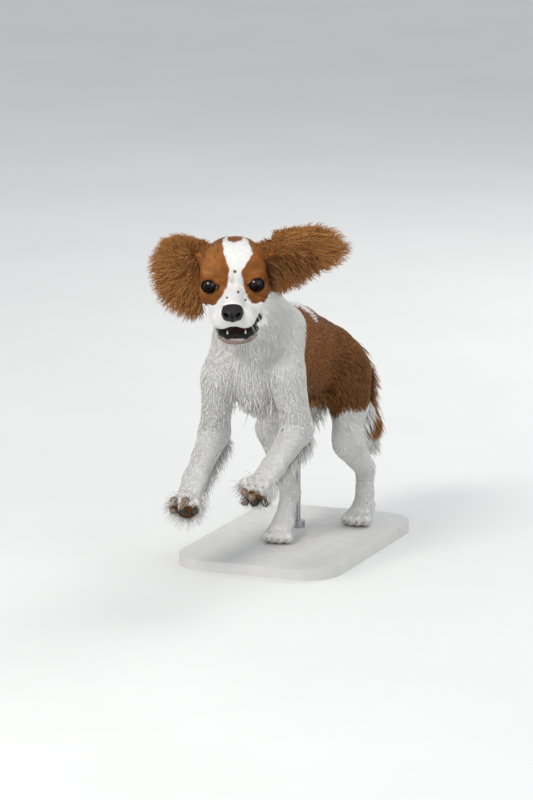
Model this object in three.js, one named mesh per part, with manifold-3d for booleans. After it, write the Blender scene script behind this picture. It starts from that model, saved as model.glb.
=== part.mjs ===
// A young cavalier king charles spaniel, life size, bounding toward the viewer.
// Millimetres, +Z up. The dog's nose points to -Y and its left side is +X.
// The origin is the centre of the display base's underside.
import * as THREE from "three";
import { ParametricGeometry } from "three/addons/geometries/ParametricGeometry.js";
import { mergeVertices } from "three/addons/utils/BufferGeometryUtils.js";
import Module from "manifold-3d";

const wasm = await Module();
wasm.setup();

// Driving sizes
const GAP = 0.3; // between two nodes that meet
const BASE = { length: 340, width: 220, top: 14, corner: 50 };
const ROD = { x: -18, y: 52, radius: 4, sides: 12, top: 205, collar: 10, collarHeight: 8 };
const EYE = { side: 28.6, ahead: -3, up: 0, radius: 10.5, outward: 12 };
const LID = { wide: 9.9, high: 8.9, ahead: 4.4, thick: 2.3 };
const TEETH = { middle: 3, side: 10, ahead: 33, root: -63 };
const NOSTRIL = { side: 6.5, ahead: 59, up: -18, radius: 3.4 };
const HEAD = { yaw: 20.5, pitch: 12, roll: 2.3, between: [-10, -189, 378.5] };
const CAP = 3; // how far a node may swell past its own masses at a joint

const vec = (x, y, z) => new THREE.Vector3(x, y, z);
const rad = THREE.MathUtils.degToRad;
const lerp = THREE.MathUtils.lerp;

// Joints of the dog in its pose
const joint = {
  neckBase: vec(-9, -100, 306),
  neckMid: vec(-14, -126, 336),
  chestFront: vec(-5, -121, 258),
  ribsFront: vec(-7, -88, 266),
  ribsMid: vec(-10, -45, 259),
  ribsBack: vec(-9, 0, 254),
  loin: vec(-2, 48, 243),
  pelvis: vec(8, 88, 229),
  rump: vec(14, 112, 219),
  bladeLeft: vec(32, -92, 314),
  bladeRight: vec(-48, -104, 308),
  shoulderLeft: vec(41, -134, 259),
  shoulderRight: vec(-52, -132, 248),
  elbowLeft: vec(50, -120, 184),
  elbowRight: vec(-66, -116, 170),
  wristLeft: vec(48, -199, 151),
  wristRight: vec(-62, -190, 126),
  knuckleLeft: vec(43, -237, 134),
  knuckleRight: vec(-58, -226, 101),
  hipLeft: vec(36, 92, 214),
  hipRight: vec(-20, 90, 214),
  kneeLeft: vec(53, 50, 137),
  kneeRight: vec(-44, 26, 150),
  hockLeft: vec(50, 124, 83),
  hockRight: vec(-20, 30, 65),
  ankleLeft: vec(53, 110, 34),
  ankleRight: vec(-11, -14, 34),
  toeLeft: vec(53, 92, 26.5),
  toeRight: vec(-8, -37, 26.5),
  tailRoot: vec(15, 138, 238),
  tailMid: vec(23, 165, 202),
  tailLow: vec(32, 178, 150),
  tailTip: vec(37, 183, 104),
};

// The head's own frame: across to its left, ahead to the nose, and up
const headAxes = (() => {
  const yaw = rad(HEAD.yaw);
  const pitch = rad(HEAD.pitch);
  const roll = rad(HEAD.roll);
  const ahead = vec(Math.sin(yaw) * Math.cos(pitch), -Math.cos(yaw) * Math.cos(pitch), -Math.sin(pitch));
  const level = vec(Math.cos(yaw), Math.sin(yaw), 0);
  const upright = level.clone().cross(ahead).negate();
  const across = level.clone().multiplyScalar(Math.cos(roll)).addScaledVector(upright, Math.sin(roll));
  const up = upright.clone().multiplyScalar(Math.cos(roll)).addScaledVector(level, -Math.sin(roll));
  return { across, ahead, up };
})();

const onHead = (x, y, z) =>
  vec(...HEAD.between)
    .addScaledVector(headAxes.across, x)
    .addScaledVector(headAxes.ahead, y)
    .addScaledVector(headAxes.up, z);

joint.neckTop = onHead(0, -60, -4);

// One mass of the body: a rounded bar from a to b with an oval section, half as wide as
// `wide` along `side` and half as deep as `deep` across it, each given at both ends.
function mass(a, b, wide, deep, blend, side = vec(1, 0, 0)) {
  const along = b.clone().sub(a);
  const length = Math.max(along.length(), 1e-4);
  along.divideScalar(length);
  const across = side.clone().addScaledVector(along, -side.dot(along)).normalize();
  const depth = along.clone().cross(across);
  return { a, along, length, across, depth, wide, deep, blend };
}

const rel = vec(0, 0, 0);
function distance(m, p) {
  rel.subVectors(p, m.a);
  const reach = rel.dot(m.along);
  const t = Math.min(Math.max(reach / m.length, 0), 1);
  const w = lerp(m.wide[0], m.wide[1], t);
  const d = lerp(m.deep[0], m.deep[1], t);
  const e = (w + d) / 2;
  const x = rel.dot(m.across);
  const y = rel.dot(m.depth);
  const z = reach - t * m.length;
  const k0 = Math.hypot(x / w, y / d, z / e);
  if (k0 < 1e-4) return -Math.min(w, d);
  const k1 = Math.hypot(x / (w * w), y / (d * d), z / (e * e));
  return (k0 * (k0 - 1)) / k1;
}

// Joins two distances with a fillet of size k
function blendMin(a, b, k) {
  const h = Math.max(k - Math.abs(a - b), 0) / k;
  return Math.min(a, b) - h * h * k * 0.25;
}

function blended(masses) {
  return (p) => {
    let f = 1e3;
    for (const m of masses) f = blendMin(f, distance(m, p), m.blend);
    return f;
  };
}

// Masses of each node
const masses = {};
masses.torso = [
  mass(joint.chestFront, joint.ribsFront, [42, 54], [50, 72], 20),
  mass(joint.ribsFront, joint.ribsMid, [54, 58], [73, 75], 20),
  mass(joint.ribsMid, joint.ribsBack, [58, 54], [75, 69], 20),
  mass(joint.ribsBack, joint.loin, [54, 46], [69, 56], 20),
  mass(joint.loin, joint.pelvis, [46, 46], [56, 50], 20),
  mass(joint.pelvis, joint.rump, [46, 38], [50, 43], 20),
  mass(joint.neckBase, joint.ribsFront, [46, 48], [42, 50], 24),
  mass(joint.bladeLeft, joint.shoulderLeft, [18, 20], [26, 26], 18),
  mass(joint.bladeRight, joint.shoulderRight, [22, 23], [28, 27], 18),
];
masses.neck = [
  mass(joint.neckBase, joint.neckMid, [50, 46], [48, 45], 20),
  mass(joint.neckMid, joint.neckTop, [46, 40], [45, 41], 20),
];

const headMass = (a, b, wide, deep, blend) =>
  mass(onHead(...a), onHead(...b), wide, deep, blend, headAxes.across);
const bothSides = (a, b, wide, deep, blend) =>
  [1, -1].map((s) => headMass([a[0] * s, a[1], a[2]], [b[0] * s, b[1], b[2]], wide, deep, blend));

const headMassUp = (a, b, wide, deep, blend) =>
  mass(onHead(...a), onHead(...b), wide, deep, blend, headAxes.up);
const headMassAcross = (a, b, wide, deep, blend) =>
  mass(onHead(...a), onHead(...b), wide, deep, blend, headAxes.across);

masses.head = [
  headMass([0, -46, 15], [0, -30, 16], [41, 42], [33, 33], 10),
  ...bothSides([21, -20, 12], [20, -11, 11], [17, 14], [18, 13], 14),
  ...bothSides([30, -38, -14], [31, -14, -14], [18, 15], [27, 20], 12),
  headMass([0, -6, -9], [0, 40, -14], [15, 13.5], [12, 11], 10),
  ...bothSides([18, 8, -29], [14.5, 35, -29], [15, 14.5], [16, 14.5], 8),
  headMass([0, 10, -29], [0, 39, -28.5], [10, 9], [11, 9.5], 8),
  headMass([20, 14, -25], [30, 12, -19], [9, 6.5], [9, 6.5], 8),
  headMass([0, -44, -26], [0, -16, -28], [28, 22], [22, 16], 12),
];
masses.jaw = [
  headMass([2, -16, -54], [3, 8, -61], [26, 25], [9, 8], 8),
  headMass([3, 8, -61], [3.5, 27, -61], [25, 20], [8, 6.5], 8),
];
masses.tongue = [headMass([2, -6, -51], [3, 24, -54], [14, 12], [4, 3], 4)];
masses.nose = [headMass([0, 46, -14], [0, 49, -17], [14, 13.5], [10, 10.5], 4)];
masses.ear_right = [
  headMassUp([-38, -37, 34], [-58, -41, 26], [15, 20], [8, 7], 12),
  headMassAcross([-68, -43, 22], [-64, -45, -14], [21, 17], [6, 5], 12),
];
masses.ear_left = [
  headMassUp([40, -37, 28], [62, -43, 22], [17, 24], [8, 7], 12),
  headMassUp([70, -46, 20], [92, -50, 20], [25, 20], [6, 5], 12),
];

// Legs, one set of masses a side
const legs = {
  left: ["Left", 1],
  right: ["Right", -1],
};
const toeMasses = (at, along, across, spread, radius, length) =>
  [-1.5, -0.5, 0.5, 1.5].map((n) => {
    const reach = length * (Math.abs(n) > 1 ? 0.78 : 1);
    const root = at.clone().addScaledVector(across, n * spread * 0.8);
    const tip = at.clone().addScaledVector(across, n * spread).addScaledVector(along, reach);
    return mass(root, tip, [radius, radius * 0.9], [radius, radius * 0.9], 3, across);
  });

// The way each forepaw's toes point, and the way across the paw
function pawAxes(Side) {
  const legDown = joint["knuckle" + Side].clone().sub(joint["elbow" + Side]).normalize();
  const toesUp = vec(0, 0, 1).addScaledVector(legDown, -legDown.z).normalize();
  const across = legDown.clone().cross(toesUp).normalize();
  const toes = toesUp.clone().multiplyScalar(0.95).addScaledVector(legDown, 0.3).normalize();
  return { legDown, toesUp, across, toes };
}
for (const [side, [Side, sign]] of Object.entries(legs)) {
  const j = (name) => joint[name + Side];
  masses["upper_foreleg_" + side] = [mass(j("shoulder"), j("elbow"), [25, 21], [32, 26], 14)];
  masses["forearm_" + side] = [mass(j("elbow"), j("wrist"), [21, 15.5], [23, 16], 10)];
  const paw = pawAxes(Side);
  const heel = j("knuckle").clone().addScaledVector(paw.toesUp, -7).addScaledVector(paw.legDown, 2);
  masses["forepaw_" + side] = [
    mass(j("wrist"), j("knuckle"), [16.5, 17.5], [16, 14], 8),
    mass(heel, j("knuckle"), [14, 18], [12, 13], 6, paw.across),
    ...toeMasses(j("knuckle").clone().addScaledVector(paw.legDown, 3), paw.toes, paw.across, 9.4, 8.4, 11),
  ];
  masses["thigh_" + side] = [
    mass(j("hip"), j("knee"), [27, 20], [44, 27], 18),
    mass(j("hip"), j("hip").clone().add(vec(5 * sign, -4, -34)), [28, 26], [46, 40], 18),
  ];
  masses["shank_" + side] = [mass(j("knee"), j("hock"), [20, 12], [28, 17], 12)];
  const toesAhead = j("toe").clone().sub(j("ankle")).setZ(0).normalize();
  const acrossFoot = toesAhead.clone().cross(vec(0, 0, 1)).normalize();
  masses["hind_foot_" + side] = [
    mass(j("hock"), j("ankle"), [12.5, 13], [15, 14], 8),
    mass(j("ankle"), j("toe"), [15, 18], [13, 13.5], 8),
    ...toeMasses(j("toe").clone().add(vec(0, 0, -4)), toesAhead, acrossFoot, 9, 9, 15),
  ];
}
masses.tail = [
  mass(joint.tailRoot, joint.tailMid, [12, 9], [12, 10], 8),
  mass(joint.tailMid, joint.tailLow, [9, 8], [10, 9], 8),
  mass(joint.tailLow, joint.tailTip, [8, 5], [9, 5], 8),
];

// A ring of a loft: its centre, the way the loft runs there, and the angle from that way at
// which its rays leave, 180 for the pole at the start and 0 for the pole at the end.
const ring = (at, way, angle) => ({ at, way: way.clone().normalize(), angle: rad(angle) });

// Rings along a bent line of points, with a rounded start and end
function ringsAlong(points, counts, caps = 3, startCaps = caps) {
  const rings = [];
  const ways = points.slice(1).map((p, i) => p.clone().sub(points[i]).normalize());
  for (let i = 0; i < startCaps; i++) rings.push(ring(points[0], ways[0], 180 - (90 * i) / startCaps));
  ways.forEach((way, i) => {
    const from = i > 0 ? ways[i - 1].clone().add(way).normalize() : way;
    const to = i < ways.length - 1 ? ways[i + 1].clone().add(way).normalize() : way;
    for (let n = 0; n < counts[i]; n++) {
      const t = n / counts[i];
      rings.push(ring(points[i].clone().lerp(points[i + 1], t), from.clone().lerp(to, t), 90));
    }
  });
  const last = points[points.length - 1];
  const end = ways[ways.length - 1];
  for (let i = 0; i <= caps; i++) rings.push(ring(last, end, 90 - (90 * i) / caps));
  return rings;
}

// Walks out from a point inside until the field turns positive
function reachOut(field, from, way, level, longest) {
  const p = vec(0, 0, 0);
  let inner = 0;
  let outer = 0;
  while (outer < longest) {
    p.copy(from).addScaledVector(way, outer);
    const f = field(p) - level;
    if (f > 0) break;
    inner = outer;
    outer += Math.max(0.6, -f * 0.7);
  }
  if (outer >= longest) return longest;
  for (let i = 0; i < 14; i++) {
    const mid = (inner + outer) / 2;
    p.copy(from).addScaledVector(way, mid);
    if (field(p) - level > 0) outer = mid;
    else inner = mid;
  }
  return Math.max(inner, 0.05);
}

// A closed surface from rays that leave each ring of a loft
function loft(rings, around, field, level = 0, reference = vec(1, 0, 0), longest = 140) {
  const surface = (u, v, target) => {
    const r = rings[Math.round(v * (rings.length - 1))];
    const side = reference.clone().addScaledVector(r.way, -reference.dot(r.way)).normalize();
    const over = r.way.clone().cross(side);
    const turn = u * 2 * Math.PI;
    const out = r.way
      .clone()
      .multiplyScalar(Math.cos(r.angle))
      .addScaledVector(side, Math.sin(r.angle) * Math.cos(turn))
      .addScaledVector(over, Math.sin(r.angle) * Math.sin(turn));
    const far = reachOut(field, r.at, out, level, longest);
    target.copy(r.at).addScaledVector(out, far);
  };
  return solid(new ParametricGeometry(surface, around, rings.length - 1));
}

const manifoldOf = (positions, triangles) =>
  new wasm.Manifold(
    new wasm.Mesh({
      numProp: 3,
      vertProperties: new Float32Array(positions),
      triVerts: new Uint32Array(triangles),
    }),
  );

// A three.js geometry as a manifold solid, turned to face out
function solid(geometry) {
  geometry.deleteAttribute("normal");
  geometry.deleteAttribute("uv");
  const merged = mergeVertices(geometry, 1e-3);
  const index = merged.index.array;
  const kept = [];
  for (let i = 0; i < index.length; i += 3) {
    const [a, b, c] = [index[i], index[i + 1], index[i + 2]];
    if (a !== b && b !== c && c !== a) kept.push(a, b, c);
  }
  const first = manifoldOf(merged.attributes.position.array, kept);
  if (first.volume() >= 0) return first;
  const turned = [];
  for (let i = 0; i < kept.length; i += 3) turned.push(kept[i], kept[i + 2], kept[i + 1]);
  return manifoldOf(merged.attributes.position.array, turned);
}

// The largest closed surface of a solid
function largest(whole) {
  const bodies = whole.decompose();
  return bodies.reduce((best, b) => (b.volume() > best.volume() ? b : best));
}

// Joins vertices that cuts leave closer together than `near`, and drops what that collapses
function weld(whole, near) {
  const { vertProperties, triVerts } = whole.getMesh();
  const places = new Map();
  const positions = [];
  const moved = [];
  for (let i = 0; i < vertProperties.length; i += 3) {
    const xyz = [0, 1, 2].map((k) => Math.round(vertProperties[i + k] / near) * near);
    const key = xyz.map((c) => c.toFixed(4)).join(" ");
    if (!places.has(key)) {
      places.set(key, positions.length / 3);
      positions.push(...xyz);
    }
    moved.push(places.get(key));
  }
  const faces = new Map();
  for (let i = 0; i < triVerts.length; i += 3) {
    const face = [0, 1, 2].map((k) => moved[triVerts[i + k]]);
    if (new Set(face).size < 3) continue;
    const key = [...face].sort((a, b) => a - b).join(" ");
    if (faces.has(key)) faces.delete(key);
    else faces.set(key, face);
  }
  return largest(manifoldOf(positions, [...faces.values()].flat()));
}

// Welds a solid as coarsely as leaves it closed
function cleaned(whole) {
  for (const near of [0.05, 0.02, 0.01, 0.004, 0.002, 0.001]) {
    try {
      const welded = weld(whole, near);
      if (welded.volume() > 0.98 * whole.volume()) return weld(welded, 0.0005);
    } catch {
      continue;
    }
  }
  return whole;
}

// Seeded draws, so that every build is the same
let seed = 20;
function draw(low, high) {
  seed = (seed * 1664525 + 1013904223) % 4294967296;
  return lerp(low, high, seed / 4294967296);
}

// A lock of long coat: a flat bar of three sides that bends, waves and tapers from root to tip,
// the later the higher full is
function lock(root, way, flatSide, length, width, bend, wave, full = 1.6) {
  const side = flatSide.clone().addScaledVector(way, -flatSide.dot(way)).normalize();
  const over = way.clone().cross(side);
  const steps = 3;
  const turn = draw(0, 2 * Math.PI);
  const surface = (u, v, target) => {
    const row = Math.round(v * (steps + 2));
    const t = Math.min(Math.max((row - 1) / steps, 0), 1);
    const pole = row === 0 || row === steps + 2;
    const taper = pole ? 0 : width * (1 - 0.9 * t ** full) * 0.5;
    const around = u * 2 * Math.PI + Math.PI / 2;
    const sway = wave * t * Math.sin(turn + 4.2 * t);
    target
      .copy(root)
      .addScaledVector(way, length * t)
      .addScaledVector(bend, t * t)
      .addScaledVector(side, sway + taper * 1.25 * Math.cos(around))
      .addScaledVector(over, taper * 0.5 * Math.sin(around));
  };
  return solid(new ParametricGeometry(surface, 3, steps + 2));
}

const group = new THREE.Group();
function add(name, whole, colour, roughness = 0.8, metalness = 0) {
  const { vertProperties, triVerts } = cleaned(whole).getMesh();
  const geometry = new THREE.BufferGeometry();
  geometry.setAttribute("position", new THREE.BufferAttribute(new Float32Array(vertProperties), 3));
  geometry.setIndex(new THREE.BufferAttribute(new Uint32Array(triVerts), 1));
  geometry.computeVertexNormals();
  const mesh = new THREE.Mesh(
    geometry,
    new THREE.MeshStandardMaterial({ color: colour, roughness, metalness }),
  );
  mesh.name = name;
  group.add(mesh);
}

// Blends a node's masses with its neighbours', and keeps it near its own
function nodeField(name, neighbours) {
  const own = blended(masses[name]);
  const all = blended([...masses[name], ...neighbours.flatMap((n) => masses[n])]);
  return (p) => Math.max(all(p), own(p) - CAP);
}

// Builds a node's solid with what it meets cut away
const built = {};
function build(name, rings, around, neighbours, parents, options = {}) {
  const field = nodeField(name, neighbours);
  const { reference, longest } = options;
  const shape = loft(rings, around, field, 0, reference, longest);
  built[name] = { shape, grown: () => loft(rings, around, field, GAP, reference, longest) };
  for (const parent of parents) built[name].shape = built[name].shape.subtract(built[parent].grown());
  built[name].shape = largest(built[name].shape);
}

const WHITE = 0xe9e6e0;
const CHESTNUT = 0x8a4a22;
const DARK = 0x1c1614;

build(
  "torso",
  ringsAlong(
    [
      joint.chestFront,
      joint.ribsFront,
      joint.ribsMid,
      joint.ribsBack,
      joint.loin,
      joint.pelvis,
      joint.rump,
    ],
    [2, 2, 3, 2, 2, 2],
    3,
    5,
  ),
  24,
  ["neck", "upper_foreleg_left", "upper_foreleg_right", "thigh_left", "thigh_right", "tail"],
  [],
);

const headRings = [
  [-38, 8, 180],
  [-38, 8, 158],
  [-38, 8, 136],
  [-38, 8, 116],
  [-38, 8, 100],
  [-34, 7, 92],
  [-29, 5, 86],
  [-23, 2, 80],
  [-17, -2, 75],
  [-11, -5, 71],
  [-6, -8, 67],
  [-1, -10, 65],
  [4, -12, 65],
  [10, -13, 68],
  [16, -14, 73],
  [22, -15, 79],
  [28, -16, 85],
  [34, -17, 90],
  [38, -18, 84],
  [40, -18, 66],
  [41, -18, 44],
  [41, -18, 22],
  [41, -18, 0],
].map(([y, z, angle]) => ring(onHead(0, y, z), headAxes.ahead, angle));
build("head", headRings, 32, ["neck"], [], { reference: headAxes.across });

// Moves a shape from the head's own frame into place
const headFrame = new THREE.Matrix4()
  .makeBasis(headAxes.across, headAxes.ahead, headAxes.up)
  .setPosition(onHead(0, 0, 0));
const headBall = (x, y, z, rx, ry, rz) =>
  solid(new THREE.SphereGeometry(1, 8, 5).scale(rx, ry, rz).translate(x, y, z).applyMatrix4(headFrame));

// Eyes in their sockets, each with a rim of lid round it
const eyes = { left: 1, right: -1 };
for (const [side, sign] of Object.entries(eyes)) {
  const centre = onHead(EYE.side * sign, EYE.ahead, EYE.up);
  const ball = (r) => solid(new THREE.SphereGeometry(r, 12, 8).translate(centre.x, centre.y, centre.z));
  const lid = solid(
    new THREE.TorusGeometry(1, LID.thick / LID.wide, 5, 14)
      .scale(LID.wide, LID.high, LID.wide)
      .rotateX(Math.PI / 2)
      .translate(0, LID.ahead, 0)
      .rotateZ(-rad(EYE.outward) * sign)
      .translate(EYE.side * sign, EYE.ahead, EYE.up)
      .applyMatrix4(headFrame),
  );
  built["eye_" + side] = { shape: ball(EYE.radius) };
  built.head.shape = largest(built.head.shape.add(lid).subtract(ball(EYE.radius + GAP)));
}

// The roof of the open mouth
built.head.shape = largest(built.head.shape.subtract(headBall(2, 12, -46, 17, 28, 8)));

build("neck", ringsAlong([joint.neckBase, joint.neckMid, joint.neckTop], [1, 2], 2), 16, ["head", "torso"], [
  "torso",
  "head",
]);
build(
  "jaw",
  ringsAlong([onHead(2, -16, -54), onHead(3, 8, -61), onHead(3.5, 27, -61)], [2, 3], 3),
  18,
  [],
  ["head", "neck"],
  { reference: headAxes.across },
);
build(
  "tongue",
  ringsAlong([onHead(2, -6, -51), onHead(3, 24, -54)], [3], 2),
  12,
  [],
  ["head", "neck", "jaw"],
  { reference: headAxes.across },
);
// The lower canines and the incisors between them, joined to the jaw
const tooth = (x, y, radius, height) => {
  const cone = new THREE.ConeGeometry(radius, height, 6).rotateX(Math.PI / 2);
  return solid(cone.translate(x, y, TEETH.root + height / 2).applyMatrix4(headFrame));
};
for (const sign of [1, -1]) {
  built.jaw.shape = built.jaw.shape.add(tooth(TEETH.middle + TEETH.side * sign, TEETH.ahead, 3, 16));
}
for (const n of [-1.5, -0.5, 0.5, 1.5]) {
  built.jaw.shape = built.jaw.shape.add(tooth(TEETH.middle + n * 3.6, TEETH.ahead + 4.5, 1.9, 9.5));
}
built.jaw.shape = largest(built.jaw.shape.subtract(built.tongue.grown()));

build("nose", ringsAlong([onHead(0, 40, -15), onHead(0, 49, -17)], [1], 3), 12, [], ["head"], {
  reference: headAxes.across,
});
for (const sign of [1, -1]) {
  const { side, ahead, up, radius } = NOSTRIL;
  const hole = headBall(side * sign, ahead, up, radius, radius * 1.6, radius);
  built.nose.shape = largest(built.nose.shape.subtract(hole));
}
const earRight = [onHead(-68, -43, 26), onHead(-64, -45, -14)];
const earLeft = [onHead(42, -37, 28), onHead(62, -43, 22), onHead(92, -50, 20)];
build("ear_right", ringsAlong(earRight, [4], 2), 14, [], ["head", "neck"], {
  reference: headAxes.ahead,
});
build("ear_left", ringsAlong(earLeft, [2, 2], 2), 14, [], ["head", "neck"], {
  reference: headAxes.ahead,
});

// The cup at the root of each ear
built.ear_right.shape = largest(built.ear_right.shape.subtract(headBall(-53, -31, 29, 10, 6, 9)));
built.ear_left.shape = largest(built.ear_left.shape.subtract(headBall(55, -32, 22, 10, 6, 10)));

for (const [side, [Side, sign]] of Object.entries(legs)) {
  const j = (name) => joint[name + Side];
  build(
    "upper_foreleg_" + side,
    ringsAlong([j("shoulder"), j("elbow")], [5], 2),
    14,
    ["torso", "forearm_" + side],
    ["torso"],
  );
  build(
    "forearm_" + side,
    ringsAlong([j("elbow"), j("wrist")], [4], 2),
    14,
    ["upper_foreleg_" + side, "forepaw_" + side],
    ["upper_foreleg_" + side, "torso"],
  );
  const toesTip = j("knuckle").clone().addScaledVector(pawAxes(Side).legDown, 4);
  build(
    "forepaw_" + side,
    ringsAlong([j("wrist"), j("knuckle"), toesTip], [2, 1], 3),
    18,
    ["forearm_" + side],
    ["forearm_" + side],
  );
  build(
    "thigh_" + side,
    ringsAlong([j("hip"), j("knee")], [5], 2),
    16,
    ["torso", "shank_" + side],
    ["torso"],
  );
  build(
    "shank_" + side,
    ringsAlong([j("knee"), j("hock")], [5], 2),
    14,
    ["thigh_" + side, "hind_foot_" + side],
    ["thigh_" + side],
  );
  const toesAhead = j("toe").clone().sub(j("ankle")).setZ(0).normalize();
  const tip = j("toe").clone().addScaledVector(toesAhead, 6);
  build(
    "hind_foot_" + side,
    ringsAlong([j("hock"), j("ankle"), j("toe"), tip], [2, 2, 1], 3),
    16,
    ["shank_" + side],
    ["shank_" + side],
  );
}
const tailLine = [joint.tailRoot, joint.tailMid, joint.tailLow, joint.tailTip];
build("tail", ringsAlong(tailLine, [2, 3, 2], 2), 12, ["torso"], ["torso"]);

// The outlines of the flung ears with their hair, from below round to the top
const EAR_RIGHT = [
  [-42, 50],
  [-67, 56],
  [-93, 47],
  [-110, 14],
  [-104, -24],
  [-88, -49],
  [-62, -62],
  [-45, -58],
];
const EAR_LEFT = [
  [54, -34],
  [80, -28],
  [106, -12],
  [140, 4],
  [150, 26],
  [128, 52],
  [92, 58],
  [54, 57],
];

// The long hair of an ear: locks that fan from its base to an outline, round the edge and over
// both faces. Places are in the head's own frame, the outline's as [across, up].
function earLocks(base, ahead, outline, edge, face) {
  const line = new THREE.CatmullRomCurve3(outline.map(([x, z]) => vec(x, 0, z)));
  const place = (u, part, lift) => {
    const { x, z } = line.getPointAt(Math.min(Math.max(u, 0), 1));
    const y = ahead - 0.2 * (Math.abs(x) - Math.abs(base[0]) - 40);
    return onHead(
      lerp(base[0], x, part),
      lerp(base[1], y, part) + lift,
      lerp(base[2], z, part),
    );
  };
  const one = (u, start, end, lift, width) => {
    const root = place(u, start, lift * 0.6);
    const tip = place(u + draw(-0.02, 0.02), end, lift);
    const way = tip.clone().sub(root);
    const length = way.length();
    way.normalize();
    const flat = way.clone().cross(headAxes.ahead);
    const fall = vec(0, 0, -1).multiplyScalar(length * 0.06);
    return lock(root, way, flat, length, width, fall, draw(2.5, 5), 2.4);
  };
  const locks = [];
  for (let i = 0; i < edge; i++) {
    const u = (i + 0.5) / edge;
    locks.push(one(u, draw(0.34, 0.42), draw(0.96, 1.04), draw(-3, 3), draw(22, 26)));
  }
  for (let i = 0; i < face; i++) {
    const u = (i + 0.5) / face;
    for (const lift of [5.5, -5.5]) {
      locks.push(one(u, draw(0.2, 0.3), draw(0.68, 0.8), lift, draw(14, 18)));
    }
  }
  return locks;
}
function growOn(name, locks, clearOf = []) {
  let coat = locks.reduce((whole, one) => whole.add(one));
  for (const other of clearOf) coat = coat.subtract(built[other].grown());
  built[name].shape = largest(built[name].shape.add(coat));
}
growOn(
  "ear_right",
  earLocks([-44, -38, 30], -45, EAR_RIGHT, 11, 3),
  ["head", "neck"],
);
growOn(
  "ear_left",
  earLocks([48, -39, 26], -52, EAR_LEFT, 12, 3),
  ["head", "neck"],
);

// The plume of the tail
{
  const locks = [];
  const line = new THREE.CatmullRomCurve3([joint.tailRoot, joint.tailMid, joint.tailLow, joint.tailTip]);
  const count = 11;
  for (let i = 0; i < count; i++) {
    const t = lerp(0.16, 0.97, i / (count - 1));
    const at = line.getPointAt(t);
    const along = line.getTangentAt(t);
    const round = i * 2.4;
    const out = vec(Math.cos(round), 0.35 + 0.65 * Math.sin(round), 0.1 * Math.sin(round));
    out.addScaledVector(along, -out.dot(along)).normalize();
    const way = along.clone().multiplyScalar(0.93).addScaledVector(out, 0.36).normalize();
    const length = lerp(38, 46, Math.sin(Math.PI * t)) * draw(0.9, 1.1);
    locks.push(lock(at, way, along.clone().cross(out), length, draw(15, 19), vec(0, 0, -4), draw(1, 3)));
  }
  growOn("tail", locks, ["torso", "thigh_left", "thigh_right"]);
}

// A point on the coat, found by walking out from inside along a line
function onCoat(names, inside, way) {
  const field = blended(names.flatMap((name) => masses[name]));
  return inside.clone().addScaledVector(way, reachOut(field, inside, way, 0, 140));
}

// The bib down the chest and the fringe under the brisket, laid along the coat
{
  const locks = [];
  const names = ["torso", "neck"];
  const rows = [3, 2, 3, 2, 2];
  for (const [row, count] of rows.entries()) {
    const down = lerp(-0.1, 1.35, row / (rows.length - 1));
    for (let i = 0; i < count; i++) {
      const spread = (i - (count - 1) / 2) * 0.56 + draw(-0.06, 0.06);
      const out = vec(Math.sin(spread), -Math.cos(down), -Math.sin(down)).normalize();
      const inside = joint.chestFront.clone().lerp(joint.ribsFront, row / (rows.length - 1));
      const root = onCoat(names, inside, out).addScaledVector(out, -6);
      const way = vec(0, lerp(0, 0.9, row / (rows.length - 1)), -1);
      way.addScaledVector(out, -way.dot(out)).normalize().addScaledVector(out, 0.16).normalize();
      const hug = out.clone().multiplyScalar(-2);
      locks.push(lock(root, way, way.clone().cross(out), draw(38, 46), draw(22, 26), hug, draw(1, 3)));
    }
  }
  growOn("torso", locks, ["upper_foreleg_left", "upper_foreleg_right", "neck"]);
}

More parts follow.
